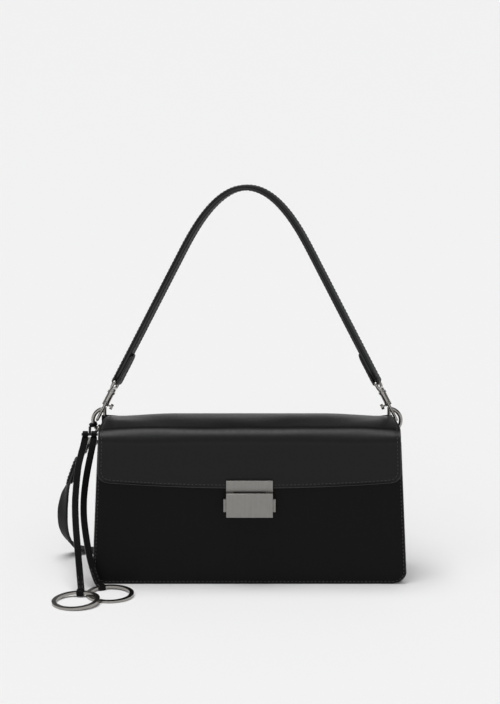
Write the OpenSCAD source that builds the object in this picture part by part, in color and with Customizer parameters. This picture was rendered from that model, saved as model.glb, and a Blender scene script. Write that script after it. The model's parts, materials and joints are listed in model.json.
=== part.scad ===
// Structured leather shoulder bag with a press lock, a carrying strap on snap hooks,
// a long strap put away behind it and two leather thongs with flat steel rings.
// Origin: middle of the front panel's lower edge, on the table. X to the right, Y to the
// back, Z up. Millimetres.

/* [Bag body] */
// Width of the front and back panels at the base
bag_w = 260; // [220:1:300]
// Width of the front panel at its top
front_top_w = 247; // [215:1:255]
// Width of the back panel at its top
back_top_w = 229; // [200:1:235]
// Depth of the bag at the base, outside the panels
bag_d = 60; // [52:1:80]
// How far each panel leans in towards the top
lean_in = 3; // [0:0.5:5]
// Height of the back panel
back_h = 128.4; // [110:1:150]
// Height of the front panel under the flap
front_h = 120; // [100:1:125]
// Radius of the panels' bottom corners
corner_r = 12; // [6:1:20]
// Thickness of the panel leather
leather_t = 1.6; // [1.2:0.1:2]
// Width of the stitched flange outside the gussets
flange_w = 3.6; // [2.5:0.1:5]
// Thickness of the stiffening boards
board_t = 1.2; // [0.8:0.1:2]
// Thickness of the lining
lining_t = 0.7; // [0.5:0.1:1]
// How far the gussets fold in at the top of their middle
gusset_fold = 7; // [0:1:10]

/* [Flap] */
// Thickness of the flap leather
flap_t = 1.5; // [1.2:0.1:2]
// Thickness of the flap lining
flap_lining_t = 0.9; // [0.6:0.1:1.2]
// Outer radius of the flap's front roll
roll_r = 14; // [12:1:15]
// Height of the flap's crown over its fold line
crown_rise = 4; // [3:0.5:5]
// Height of the flap's lower edge at the middle
flap_edge_z = 82; // [81.5:0.5:86]
// Width of the flap at its lower edge
flap_w = 249; // [240:1:252]
// Rise of the flap's lower edge towards its corners
flap_smile = 4.5; // [2:0.5:6]
// Radius of the flap's lower corners
flap_corner_r = 9; // [5:1:12]

/* [Lock] */
// Width of the lock's plates
lock_w = 38.2; // [34:0.2:44]
// Height of the lower block
block_h = 20.3; // [19:0.1:21]
// Height of the upper plate
plate_h = 9.4; // [8:0.1:10]
// Thickness of the upper plate
plate_t = 2.8; // [2.4:0.1:3.2]
// Thickness of the lower block's face plate
face_t = 1.5; // [1:0.1:2]
// Height of the squeeze buttons
button_h = 10.8; // [9:0.1:11.5]
// How far the squeeze buttons stand out
button_proud = 2.2; // [2:0.1:3]
// Travel of the squeeze buttons
button_travel = 1.8; // [1:0.1:1.9]

/* [D-rings] */
// Wire diameter of the D-rings
ring_wire = 3.3; // [2.8:0.1:3.5]
// Radius of the bow, to the middle of its wire
bow_r = 9.95; // [9.6:0.05:11]
// How far the rings' middle lies under the top of the back panel
ring_down = 4.4; // [3.4:0.1:8]
// How far the left ring's bar stands out beyond the back panel's top
bar_out_left = 6.7; // [6:0.1:8.5]
// How far the right ring's bar stands out beyond the back panel's top
bar_out_right = 2.3; // [2.1:0.1:4.5]
// Width of the leather tabs
tab_h = 11.7; // [10:0.1:12]
// Thickness of the tab leather
tab_t = 1.2; // [1:0.1:1.4]

/* [Carrying strap] */
// Width of the strap
strap_w = 13; // [11:0.5:14]
// Thickness of the outer leather
strap_outer_t = 1.8; // [1.5:0.1:2]
// Thickness of the inner leather with its filler
strap_inner_t = 2.7; // [2.7:0.1:3]
// Height of the strap's middle over the D-rings
strap_rise = 184; // [165:1:200]
// Angle of the strap's sides from upright
strap_side_a = 27.3; // [26:0.1:29]
// Angle at which the strap leans back at rest
strap_lean = 8; // [6:1:10]
// Angle by which the strap is turned about its length
strap_turn = 14; // [0:1:16]
// Length of the folded back ends
fold_l = 27; // [20:1:32]

/* [Snap hooks] */
// Wire diameter of the hook
hook_wire = 2.6; // [2.2:0.1:2.7]
// Half of the hook's inner gap, to the middle of its wire
hook_gap = 3.55; // [3.5:0.05:3.8]
// Depth of the hook below the wire that it holds
hook_depth = 10.3; // [9.8:0.1:10.5]
// Diameter of the barrel
barrel_d = 5.4; // [5.2:0.1:5.8]
// Top of the barrel above the held wire
barrel_top = 15; // [14:0.5:17]
// Diameter of the sliding bolt
bolt_d = 1.8; // [1.6:0.1:1.9]
// Travel of the sliding bolt
bolt_travel = 4.6; // [3:0.1:4.8]
// Wire diameter of the swivel eye
eye_wire = 2.6; // [2.2:0.1:2.8]
// Distance from the held wire to the eye's top bar
eye_reach = 26; // [25:0.5:28]

/* [Long strap] */
// Width of the long strap
long_w = 12.5; // [10:0.5:13]
// Thickness of the long strap
long_t = 2.5; // [2:0.1:2.8]
// Distance between neighbouring turns of the coil
coil_pitch = 4; // [3.6:0.1:5]
// Length of the coil's straight runs
coil_run = 100; // [80:5:110]
// Radius of the coil's outer ends
coil_r = 27.5; // [26:0.5:30]

/* [Thongs and steel rings] */
// Width of the thongs
thong_w = 5.5; // [4.5:0.1:6]
// Thickness of the thongs
thong_t = 1.8; // [1.4:0.1:2]
// Outer diameter of the flat steel rings
key_od = 39; // [36:0.5:40]
// Radial width of the flat steel rings
key_rim = 3.6; // [3:0.1:4]
// Thickness of the flat steel rings
key_t = 2; // [1.6:0.1:2.2]

/* [Hidden] */
$fn = 48;

// Overrun of every cut past the face that it opens
cut = 1;
// Running clearance of pins in their holes
run_gap = 0.05;
// Clearance between pieces that only lie near each other
near_gap = 0.3;

// Panels: outer faces of the front and back at a height
half_d = bag_d / 2;
function front_y(z) = -half_d + lean_in * z / back_h;
function back_y(z) = half_d - lean_in * z / back_h;
// Half width of the front and back panels at a height
function front_x(z) = (bag_w + (front_top_w - bag_w) * z / back_h) / 2;
function back_x(z) = (bag_w + (back_top_w - bag_w) * z / back_h) / 2;
// The seam's inner leathers are skived
skived = 0.2;
welt_t = leather_t - skived;
gusset_t = leather_t - skived;
gusset_h = front_h;
// Depth at which the welts end and the gussets begin
welt_in = leather_t + welt_t;
inner_r = corner_r - flange_w;
// How far the welt reaches in past the flange
welt_over = 1;
// The origin is the middle of the front panel's lower edge, and the bag stands back from it
set_back = half_d - leather_t / 2;
module placed() {
    translate([0, set_back, 0]) children();
}

// Flap: fold line at the top of the back panel
fold_in = 1;
fold_y = half_d - lean_in - fold_in;
fold_z = back_h + leather_t;
flap_sum = flap_t + flap_lining_t;
knuckle_r = flap_sum / 2;
flap_clear = 1.2;
flap_front = -half_d - flap_clear;
roll_y = flap_front + roll_r;
roll_drop = 2.5;
roll_z = front_h - roll_drop;
roll_steps = 8;
roll_span = 82;
top_steps = 8;
flap_side = 1;
flap_back_w = back_top_w + 2 * flap_side;
crown_pull = 14;
crown_back = 16;
flap_under = 6;
lining_in = 1;
lining_back = 2;
flap_rivet_x = 14;
flap_rivet_up = 4.5;

// Lock heights and depths
block_drop = 2.3;
block_top = flap_edge_z - block_drop;
block_base = block_top - block_h;
block_deep = 7.4;
block_front = flap_front - block_deep + face_t;
wall = 1.4;
front_wall = 1;
slot_wall = 0.9;
slot_side = 1;
slot_deep = 0.8;
housing_deep = 1.6;
post_h = 6;
plate_base = block_top + near_gap;
tongue_w = 24;
tongue_t = 1.2;
tongue_drop = 3.6;
tongue_rise = 6;
button_drop = 0.8;
button_mid = block_base + block_h / 2 - button_drop;
button_set = 2.4;
button_y = flap_front - button_set;
button_d = 3.6;
stop_t = 1.3;
stop_over = 1.3;
stop_up = 1;
stop_gap = 0.1;
stop_front = 0.5;
stop_back = 0.2;
arm_set = 0.4;
catch_from = 2;
catch_w = 3;
catch_gap = 0.5;
catch_hole_w = 4;
catch_hole_h = 2.6;
catch_hole_up = 0.9;
arm_h = 5.5;
arm_t = 1.6;
arm_end = 6;
post_w = 3;
spring_r = 1.5;
spring_wire = 0.6;
screw_side = 5;
screw_x = lock_w / 2 - screw_side;
screw_up = 5;
screw_in = 1.7;
screw_head_t = 1;
back_plate_in = 1;
screw_r = 1.2;

// D-rings
bar_left = back_top_w / 2 + bar_out_left;
bar_right = back_top_w / 2 + bar_out_right;
ring_z = back_h - ring_down;
ring_back = 0.5;
ring_y = half_d + ring_back;
wire_r = ring_wire / 2;
bar_less = 0.15;
bar_r = wire_r - bar_less;
bar_end = 1.2;
hinge_z = ring_z + bow_r;
tab_play = 0.1;
tab_hole_r = bar_r + tab_play;
tab_drop = 1.6;
tab_z = ring_z - tab_drop - tab_h / 2;
tab_l = 18;
tab_clear = 5;
tab_in = back_top_w / 2 - tab_l;
tab_pack = back_top_w / 2 - tab_clear;
tab_weld = 0.02;
rivet_r = 1.2;
rivet_head_r = 2.2;
rivet_head_t = 0.8;

// Carrying strap: where the hooks cross the D-rings
hook_over = 1.5;
cross_left = bar_left + hook_over;
cross_right = bar_right + hook_over;
strap_mid = (cross_right - cross_left) / 2;
strap_half = (cross_left + cross_right) / 2;
strap_t = strap_outer_t + strap_inner_t;
eye_r = eye_wire / 2;
wrap_r = eye_r + run_gap;
// The arch leaves its straight sides at this share of the rise
arch_share = 0.713;
arch_pull_share = 0.13;
arch_steps = 14;
side_steps = 3;
outer_leg = 2;
// The same turn, measured about the hook's own axis
side_turn = atan(tan(strap_turn) * cos(strap_side_a));

// Snap hook
hook_r = hook_wire / 2;
barrel_r = barrel_d / 2;
barrel_y = 2.2;
barrel_base = 3.2;
bolt_in = 0.15;
bolt_y = hook_gap - bolt_in;
tip_up = 1.6;
tip_z = -hook_depth + hook_gap + tip_up;
// The hook's collar, and the shoulder that joins barrel and spine
hook_collar_t = 2;
hook_collar_up = 1.2;
hook_collar_out = 0.6;
shoulder_h = 3.4;
shoulder_side = 0.2;
shoulder_back = 1;
eye_gap = 0.3;
collar_t = 2;
post_r = 1.1;
post_l = 3.8;
knob_r = 2.4;
// Length of the bolt inside the barrel
bolt_seat = 3.9;
knob_t = 2.4;
knob_x = 4.4;
arm_r = 0.8;
arm_up = 0.2;
arm_play = 0.15;
arm_end_play = 0.6;
post_play = 1;
eye_bend = 2.4;
eye_sink = 0.4;
eye_side = 0.5;

// Long strap: where its hook hangs on the left D-ring
near_a = 230;
near_lean = 32;
near_slack = 7.1;
// Angle of the strap from upright where it leaves the hook's eye
near_hang = 20;
long_fold_l = 20;
coil_y = 66;
coil_x = 5;
coil_half_turns = 4;
far_z = 9.6;
far_y = 49.6;
far_end_x = -8;
// The tail of the coil: how far along and how far over to the hook, as shares
tail_shares = [[0.16, 0.2], [0.3, 0.8], [0.42, 1], [0.7, 1], [1, 1]];
// The hand laid route from the near fold to the table, and on to the coil
long_route = [
    [-156, 32, 57], [-158.4, 36, 42.5], [-158.6, 41.5, 28],
    [-156.5, 46, 18], [-152, 50, 10], [-145.5, 54, 4.4], [-138, 56.5, 2.2],
    [-128, 57, 1.6], [-115, 54.5, 2.6], [-100, 50, 4.2], [-84, 44.4, 5.6], [-68, 40.6, 6.2],
    [-54, 38.7, 6.25]
];
long_turn = 20;
// Where the long strap's own leather starts, past the bar of the eye, and its next points
long_start = 2.4;
long_next = 12;
fold_over = 1;

// Thongs
keeper_a = 200;
keeper_play = 0.85;
keeper_hole = wire_r + keeper_play;
keeper_t = 1;
keeper_w = 3;
keeper_shift = 0.55;
pin_r = 1.1;
pin_out = 12.4;
pin_front = 8.5;
pin_drop = 10.1;
pin_x = -bar_left - pin_out;
pin_y = ring_y - pin_front;
pin_z = ring_z - pin_drop;
neck_t = 1.6;
// The neck from the keeper to its roll: a point from the keeper, then points from the roll
neck_from = [-2.6, -2.4, -1.6];
neck_by = [0, 2.6, 2.2];
neck_to = [0, 0, 0.4];
pin_l = 13.6;
neck_w = 2.2;
loop_less = 1;
loop_w = thong_w - loop_less;
loop_x = neck_w / 2 + near_gap + loop_w / 2;
key_r = key_od / 2;
// Rings and laces on the table: X from the roll, Y and Z from the bag
key_left = [-6.3, -79.5];
key_right = [20.2, -60.6];
thong_left_route = [[-5, 17, 105.5], [-6.8, 12.5, 99], [-9, 4, 88.5], [-10.4, -12, 67],
    [-9.4, -25, 50.5], [-7.4, -37, 35], [-4.8, -50, 14], [-3.9, -54.6, 7.4],
    [-3.5, -57.4, 4.6], [-3.3, -59.5, 3.6]];
thong_right_route = [[2.6, 17, 105.5], [1, 13, 98], [-1.8, 6, 84], [-3.8, -2, 68],
    [-3.8, -10, 54.5], [-2.4, -18, 44.5], [-0.3, -26, 34.6], [1.9, -32.5, 25.5],
    [4.6, -37.2, 16.6], [7.4, -40, 8.6], [9.2, -41.2, 4.8], [10.9, -42.6, 2.9]];
thong_left_turn = 10;
thong_right_turn = 20;
lace_back = 1;
lace_drop = 2.1;
// The left ring leans on the right one, the right one on its own loop
key_left_tilt = 4.4;
key_left_way = [0.6, -0.8, 0];
key_right_tilt = 2;
key_left_at = 82;
key_right_at = 117;
loop_gap = 0.45;
loop_t = 0.7;
function key_rise(tilt) = key_t / 2 * cos(tilt) + key_r * sin(tilt);

// Common helpers
function unit(v) = v / norm(v);
function bez(p, t) = pow(1 - t, 3) * p[0] + 3 * t * pow(1 - t, 2) * p[1]
    + 3 * t * t * (1 - t) * p[2] + t * t * t * p[3];
function tangent(r, i) = let (n = len(r) - 1)
    unit(r[min(i + 1, n)] - r[max(i - 1, 0)]);
// Width direction at a point: the wanted direction less its part along the route
function across(r, w, i) = let (t = tangent(r, i)) unit(w[i] - (w[i] * t) * t);
function over(r, w, i) = cross(tangent(r, i), across(r, w, i));

// A flat strip that follows a route, from one offset to another over its face
module strip(route, ways, wide, low, high) {
    n = len(route);
    points = [for (i = [0:n - 1])
        let (a = across(route, ways, i) * wide / 2, o = over(route, ways, i))
        each [route[i] - a + o * low, route[i] + a + o * low,
            route[i] + a + o * high, route[i] - a + o * high]];
    sides = [for (i = [0:n - 2], k = [0:3])
        let (a = 4 * i + k, b = 4 * i + (k + 1) % 4)
        each [[a, b + 4, b], [a, a + 4, b + 4]]];
    last = 4 * (n - 1);
    polyhedron(points, concat(sides, [[0, 1, 2], [0, 2, 3]],
        [[last, last + 2, last + 1], [last, last + 3, last + 2]]), convexity = 6);
}

// Extrudes an outline drawn in X and Z along Y
module along_y(y0, y1) {
    translate([0, y1, 0]) rotate([90, 0, 0]) linear_extrude(y1 - y0) children();
}

// Extrudes an outline drawn in Y and Z along X
module along_x(x0, x1) {
    translate([x0, 0, 0]) rotate([90, 0, 90]) linear_extrude(x1 - x0) children();
}

module box(x0, x1, y0, y1, z0, z1) {
    translate([x0, y0, z0]) cube([x1 - x0, y1 - y0, z1 - z0]);
}

// Outline of a panel with rounded lower corners, in X and Z
module panel_outline(low_w, high_w, high, r) {
    slope = (high_w - low_w) / 2 / back_h;
    a = low_w / 2;
    difference() {
        polygon([[-a, 0], [a, 0], [a + slope * high, high], [-a - slope * high, high]]);
        for (s = [-1, 1]) difference() {
            translate([s * a - (s > 0 ? r : cut), -cut]) square([r + cut, r + cut]);
            translate([s * (a - r), r]) circle(r, $fn = 64);
        }
    }
}

// Leaning slab between two offsets from the front or back face
module front_slab(from, to, high) {
    along_x(-bag_w, bag_w) polygon([[front_y(0) + from, 0], [front_y(0) + to, 0],
        [front_y(high) + to, high], [front_y(high) + from, high]]);
}

module back_slab(from, to, high) {
    mirror([0, 1, 0]) front_slab(from, to, high);
}

// Holes through the front for the lock's screws
module lock_screw_holes(r) {
    for (s = [-1, 1])
        translate([s * screw_x, -half_d - cut, block_base + screw_up])
            rotate([-90, 0, 0]) cylinder(h = half_d, r = r);
}

module front_panel() {
    color("#1c1c1d") placed() difference() {
        intersection() {
            front_slab(0, leather_t, front_h);
            along_y(-bag_d, bag_d) panel_outline(bag_w, front_top_w, front_h, corner_r);
        }
        lock_screw_holes(screw_r + run_gap);
    }
}

module back_panel() {
    color("#1a1a1b") placed() intersection() {
        back_slab(0, leather_t, back_h);
        along_y(-bag_d, bag_d) panel_outline(bag_w, back_top_w, back_h, corner_r);
    }
}

// Seam allowance that lies inside a panel all round the gusset
module welt(high, top_w) {
    inner = flange_w + welt_over;
    along_y(-bag_d, bag_d) difference() {
        panel_outline(bag_w, top_w, high, corner_r);
        translate([0, inner]) panel_outline(bag_w - 2 * inner,
            top_w - 2 * inner, high + cut, corner_r - inner);
    }
}

module front_welt() {
    color("#141415") placed() intersection() {
        front_slab(leather_t, welt_in, front_h);
        welt(front_h, front_top_w);
    }
}

module back_welt() {
    color("#141415") placed() intersection() {
        back_slab(leather_t, welt_in, gusset_h);
        welt(gusset_h, back_top_w);
    }
}

// Space between the welts
module between() {
    along_x(-bag_w, bag_w) polygon([[front_y(0) + welt_in, 0], [back_y(0) - welt_in, 0],
        [back_y(back_h) - welt_in, back_h], [front_y(back_h) + welt_in, back_h]]);
}

module base_panel() {
    a = bag_w / 2 - flange_w;
    color("#1a1a1b") placed() intersection() {
        between();
        along_y(-bag_d, bag_d) intersection() {
            difference() {
                translate([0, flange_w]) panel_outline(2 * a, 2 * a, front_h, inner_r);
                translate([0, flange_w + gusset_t])
                    panel_outline(2 * (a - gusset_t), 2 * (a - gusset_t), front_h,
                        inner_r - gusset_t);
            }
            translate([-a, 0]) square([2 * a, corner_r]);
        }
    }
}

// Side gusset as two leaning leaves that fold in at the middle of their top
module gusset() {
    base_x = bag_w / 2 - flange_w;
    front_top = front_x(gusset_h) - flange_w;
    back_top = back_x(gusset_h) - flange_w;
    mid_top = (front_top + back_top) / 2 - gusset_fold;
    yf0 = front_y(corner_r) + welt_in;
    yf1 = front_y(gusset_h) + welt_in;
    yb0 = back_y(corner_r) - welt_in;
    yb1 = back_y(gusset_h) - welt_in;
    for (leaf = [[yf0, yf1, front_top, true], [yb0, yb1, back_top, false]]) {
        outer = [[base_x, leaf[0], corner_r], [base_x, 0, corner_r],
            [mid_top, 0, gusset_h], [leaf[2], leaf[1], gusset_h]];
        inner = [for (p = outer) p - [gusset_t, 0, 0]];
        sides = [[0, 1, 2], [0, 2, 3], [4, 6, 5], [4, 7, 6],
            [0, 4, 5], [0, 5, 1], [1, 5, 6], [1, 6, 2],
            [2, 6, 7], [2, 7, 3], [3, 7, 4], [3, 4, 0]];
        turned = [for (f = sides) [f[2], f[1], f[0]]];
        polyhedron(concat(outer, inner), leaf[3] ? turned : sides);
    }
}

module gusset_right() {
    color("#19191a") placed() gusset();
}

module gusset_left() {
    color("#19191a") placed() mirror([1, 0, 0]) gusset();
}

board_in = corner_r;
module front_board() {
    color("#6f6353") placed() difference() {
        intersection() {
            front_slab(leather_t, leather_t + board_t, front_h - leather_t);
            along_y(-bag_d, bag_d) translate([0, board_in])
                panel_outline(bag_w - 2 * board_in, front_top_w - 2 * board_in,
                    front_h - 2 * board_in, inner_r);
        }
        lock_screw_holes(screw_r + run_gap);
    }
}

module back_board() {
    color("#6f6353") placed() intersection() {
        back_slab(leather_t, leather_t + board_t, back_h);
        along_y(-bag_d, bag_d) translate([0, board_in])
            panel_outline(bag_w - 2 * board_in, back_top_w - 2 * board_in,
                back_h - 2 * board_in, inner_r);
    }
}

base_z = flange_w + gusset_t;
board_side = 1;
board_edge = 2;
module base_board() {
    a = bag_w / 2 - corner_r - board_side;
    d = half_d - welt_in - board_edge;
    color("#6f6353") placed() box(-a, a, -d, d, base_z, base_z + board_t);
}

// Five lining sheets, a little clear of each other at the seams
lining_seam = 0.4;
lining_side_gap = 1.2;
lining_side_out = 1;
lining_top_gap = 2;
lining_base_in = 2.5;
lining_edge_up = 6;
lining_edge_in = 8;
lining_top = front_h - corner_r - lining_top_gap;
// Inner face of the gusset in its middle, at a height
gusset_mid_top = (front_x(gusset_h) + back_x(gusset_h)) / 2 - flange_w - gusset_fold;
function gusset_mid(z) = bag_w / 2 - flange_w - gusset_t
    + (gusset_mid_top - bag_w / 2 + flange_w) * (z - corner_r) / (gusset_h - corner_r);
module lining() {
    out = lining_side_out + lining_t / 2 + lining_side_gap + lining_seam;
    a = min(gusset_mid(lining_top), gusset_mid(corner_r)) - out;
    z0 = base_z + board_t;
    d = half_d - welt_in - lining_base_in;
    side = a + lining_seam + lining_side_out;
    color("#3b3836") placed() {
        box(-a, a, -d, d, z0, z0 + lining_t);
        for (s = [0, 1]) mirror([0, s, 0]) difference() {
            intersection() {
                front_slab(leather_t + board_t, leather_t + board_t + lining_t, lining_top);
                box(-a, a, -bag_d, 0, z0 + lining_t + lining_seam + lining_edge_up, lining_top);
            }
            if (s == 0) lock_screw_holes(screw_r + run_gap);
        }
        for (s = [-1, 1]) box(s * side - lining_t / 2, s * side + lining_t / 2,
            -half_d + lining_edge_in, half_d - lining_edge_in, z0, lining_top);
    }
}

pocket_w = 150;
pocket_low = 34;
pocket_h = 72;
pocket_t = 1;
pocket_seam = 5;
module inner_pocket() {
    from = leather_t + board_t + lining_t;
    a = pocket_w / 2;
    color("#242325") placed() difference() {
        intersection() {
            back_slab(from, from + 2 * pocket_t, back_h);
            box(-a, a, 0, bag_d, pocket_low, pocket_low + pocket_h);
        }
        intersection() {
            back_slab(from - cut, from + pocket_t, back_h);
            box(-a + pocket_seam, a - pocket_seam, 0, bag_d, pocket_low + pocket_seam,
                pocket_low + pocket_h + cut);
        }
    }
}

// Leather tab folded round a D-ring's bar and riveted flat on the back panel
module ring_tab(bar_x) {
    face = back_y(tab_z) + near_gap / 3;
    ply = face + 2 * tab_t;
    out = tab_hole_r + tab_t;
    difference() {
        translate([0, 0, tab_z]) linear_extrude(tab_h) difference() {
            union() {
                polygon([[tab_in, face], [tab_pack, face], [bar_x, ring_y - out],
                    [bar_x, ring_y + out], [tab_pack, ply], [tab_in, ply]]);
                translate([bar_x, ring_y]) circle(out + tab_weld);
            }
            translate([bar_x, ring_y]) circle(tab_hole_r);
        }
        tab_rivet_places() cylinder(h = bag_d, r = rivet_r + run_gap);
    }
}

module tab_rivet_places() {
    for (z = [tab_z + tab_h / 4, tab_z + 3 * tab_h / 4])
        translate([(tab_in + tab_pack) / 2, half_d - bag_d / 2, z]) rotate([-90, 0, 0])
            children();
}

module ring_tab_right() {
    color("#1b1b1c") placed() ring_tab(bar_right);
}

module ring_tab_left() {
    color("#1b1b1c") placed() mirror([1, 0, 0]) ring_tab(bar_left);
}

module tab_rivets() {
    face = back_y(tab_z) + near_gap / 3;
    ply = face + 2 * tab_t;
    color("#a5a4a1") placed() for (s = [0, 1]) mirror([s, 0, 0]) tab_rivet_places() {
        translate([0, 0, face]) cylinder(h = ply - face, r = rivet_r);
        translate([0, 0, ply]) cylinder(h = rivet_head_t, r = rivet_head_r);
    }
}

// Lower block of the lock: a box open at its top slot and at its sides
module lock_housing() {
    a = lock_w / 2;
    z_window = button_mid - button_h / 2 - near_gap;
    slot_w = tongue_w + 2 * slot_side;
    color("#8d8c8a") placed() difference() {
        along_x(-a, a) polygon([[block_front, block_base], [front_y(block_base), block_base],
            [front_y(block_top), block_top], [block_front, block_top]]);
        box(-a + wall, a - wall, block_front + front_wall, flap_front + housing_deep,
            block_base + wall, block_top - wall);
        box(-slot_w / 2, slot_w / 2, block_front + slot_wall, flap_front + slot_deep,
            block_top - wall - cut, block_top + cut);
        for (s = [-1, 1]) translate([s * a, 0, 0])
            box(-wall - cut, wall + cut, button_y - button_d / 2 - near_gap,
                button_y + button_d / 2 + near_gap, z_window,
                z_window + button_h + 2 * near_gap);
        lock_screw_holes(screw_r + run_gap);
    }
    color("#8d8c8a") placed() box(-post_w / 2, post_w / 2, block_front + front_wall,
        flap_front + housing_deep, button_mid - post_h / 2, button_mid + post_h / 2);
}

face_bevel = 0.5;
module lock_face() {
    a = lock_w / 2;
    b = face_bevel;
    color("#a2a19f") placed() hull() {
        box(-a, a, block_front - face_t + b, block_front, block_base, block_top);
        box(-a + b, a - b, block_front - face_t, block_front, block_base + b, block_top - b);
    }
}

back_plate_t = 0.6;
module lock_back_plate() {
    from = leather_t + board_t + lining_t;
    color("#77777a") placed() difference() {
        intersection() {
            front_slab(from, from + back_plate_t, front_h);
            box(-lock_w / 2 + back_plate_in, lock_w / 2 - back_plate_in, -bag_d, 0, block_base, block_top);
        }
        lock_screw_holes(screw_r + run_gap);
    }
}

module lock_screws() {
    y_head = front_y(block_base + screw_up + rivet_head_r) + leather_t + board_t + lining_t
        + back_plate_t + run_gap;
    y_tip = flap_front + screw_in;
    color("#77777a") placed() for (s = [-1, 1])
        translate([s * screw_x, 0, block_base + screw_up]) rotate([-90, 0, 0]) {
            translate([0, 0, y_tip]) cylinder(h = y_head - y_tip, r = screw_r);
            translate([0, 0, y_head]) cylinder(h = screw_head_t, r = rivet_head_r);
        }
}

// One squeeze button: the outside tab, its stop, its arm and its catch
module lock_button() {
    a = lock_w / 2;
    b = button_h / 2;
    y0 = button_y - button_d / 2;
    y1 = button_y + button_d / 2;
    stop_x = a - wall - stop_gap;
    ya = button_y + arm_set;
    box(stop_x, a + button_proud, y0, y1, button_mid - b, button_mid + b);
    box(stop_x - stop_t, stop_x, y0 - stop_front, y1 + stop_back, button_mid - b - stop_over,
        button_mid + b + stop_up);
    box(arm_end, stop_x - stop_t, ya, ya + arm_t, button_mid - arm_h / 2, button_mid + arm_h / 2);
    box(arm_end + catch_from, arm_end + catch_from + catch_w, ya, ya + arm_t,
        button_mid + arm_h / 2, block_top - tongue_drop - catch_gap);
}

module lock_button_right() {
    color("#9b9a98") placed() lock_button();
}

module lock_button_left() {
    color("#9b9a98") placed() mirror([1, 0, 0]) lock_button();
}

// Two short coil springs seated on the post, each in a shallow cup of turns
module lock_springs() {
    turns = 3;
    pitch = 0.8;
    color("#b7b7b7") placed() for (s = [0, 1]) mirror([s, 0, 0])
        translate([post_w / 2, button_y + arm_set + arm_t / 2, button_mid]) rotate([0, 90, 0])
            for (k = [0:turns - 1]) translate([0, 0, k * spring_wire])
                difference() {
                    cylinder(h = spring_wire, r = spring_r);
                    translate([0, 0, -cut]) cylinder(h = 2 * cut + pitch, r = spring_r - spring_wire);
                }
}

// Points of the flap's outer surface, from its lower edge over the roll to the fold
function flap_line() = let (
    roll = [for (i = [0:roll_steps]) let (a = 180 - roll_span * i / roll_steps)
        [roll_y + roll_r * cos(a), roll_z + roll_r * sin(a)]],
    last = roll[roll_steps],
    a = 90 - roll_span,
    top = [last, last + crown_pull * [cos(a), sin(a)],
        [fold_y - crown_back, fold_z + knuckle_r + crown_rise], [fold_y, fold_z + knuckle_r]])
    concat([[flap_front, flap_edge_z - flap_under]], roll,
        [for (i = [1:top_steps]) bez(top, i / top_steps)]);

function line_normal(p, i) = let (n = len(p) - 1,
    t = unit(p[min(i + 1, n)] - p[max(i - 1, 0)])) [t[1], -t[0]];
function inset(p, d) = [for (i = [0:len(p) - 1]) p[i] + d * line_normal(p, i)];
function backward(p) = [for (i = [len(p) - 1:-1:0]) p[i]];

// A layer of the flap between two depths under its outer surface
module flap_layer(from, to) {
    line = flap_line();
    along_x(-bag_w, bag_w) polygon(concat(inset(line, from), backward(inset(line, to))));
}

// The flap's outline: seen from above it narrows to the fold, seen from the front it
// widens to a gently curved lower edge with round corners
module flap_shape(less, back) {
    a = flap_w / 2 - less;
    top_a = (front_top_w) / 2 - less;
    low = flap_edge_z + less;
    smile_r = (pow(a, 2) + pow(flap_smile, 2)) / 2 / flap_smile;
    r = flap_corner_r;
    corner_z = low + flap_smile * pow((a - r) / a, 2);
    intersection() {
        linear_extrude(2 * back_h) polygon([[-flap_back_w / 2 + less, back],
            [flap_back_w / 2 - less, back], [flap_back_w / 2 - less, fold_y - flap_side],
            [top_a, roll_y], [bag_w, -bag_w], [-bag_w, -bag_w], [-top_a, roll_y],
            [-flap_back_w / 2 + less, fold_y - flap_side]]);
        along_y(-bag_w, bag_w) difference() {
            intersection() {
                polygon([[-a, low - r], [a, low - r], [top_a, roll_z], [top_a, 2 * back_h],
                    [-top_a, 2 * back_h], [-top_a, roll_z]]);
                translate([0, low + smile_r]) circle(smile_r, $fn = 360);
            }
            for (s = [-1, 1]) difference() {
                translate([s * (a - r) - (s > 0 ? 0 : r), corner_z - r]) square([r, 2 * r]);
                translate([s * (a - r), corner_z + r]) circle(r, $fn = 64);
            }
        }
    }
}

module flap_rivet_places() {
    for (s = [-1, 1]) translate([s * flap_rivet_x, flap_front, flap_edge_z + flap_rivet_up])
        rotate([-90, 0, 0]) children();
}

module flap_leather() {
    color("#202021") placed() difference() {
        union() {
            intersection() {
                flap_layer(0, flap_t);
                flap_shape(0, fold_y + 2 * knuckle_r);
            }
            translate([-flap_back_w / 2, fold_y, fold_z]) rotate([0, 90, 0])
                cylinder(h = flap_back_w, r = knuckle_r);
        }
        flap_rivet_places() translate([0, 0, -cut]) cylinder(h = flap_sum + 2 * cut,
            r = screw_r + run_gap);
    }
}

module flap_lining() {
    color("#2a292a") placed() difference() {
        intersection() {
            flap_layer(flap_t, flap_sum);
            flap_shape(lining_in, fold_y - lining_back);
        }
        flap_rivet_places() translate([0, 0, -cut]) cylinder(h = flap_sum + 2 * cut,
            r = screw_r + run_gap);
    }
}

// Upper plate on the flap, with a pocket in its back for the tongue
module flap_plate() {
    a = lock_w / 2;
    b = face_bevel;
    color("#a2a19f") placed() difference() {
        hull() {
            box(-a, a, flap_front - plate_t + b, flap_front, plate_base, plate_base + plate_h);
            box(-a + b, a - b, flap_front - plate_t, flap_front, plate_base + b,
                plate_base + plate_h - b);
        }
        box(-tongue_w / 2, tongue_w / 2, flap_front - tongue_t, flap_front + cut,
            plate_base - cut, plate_base + tongue_rise);
    }
}

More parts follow.
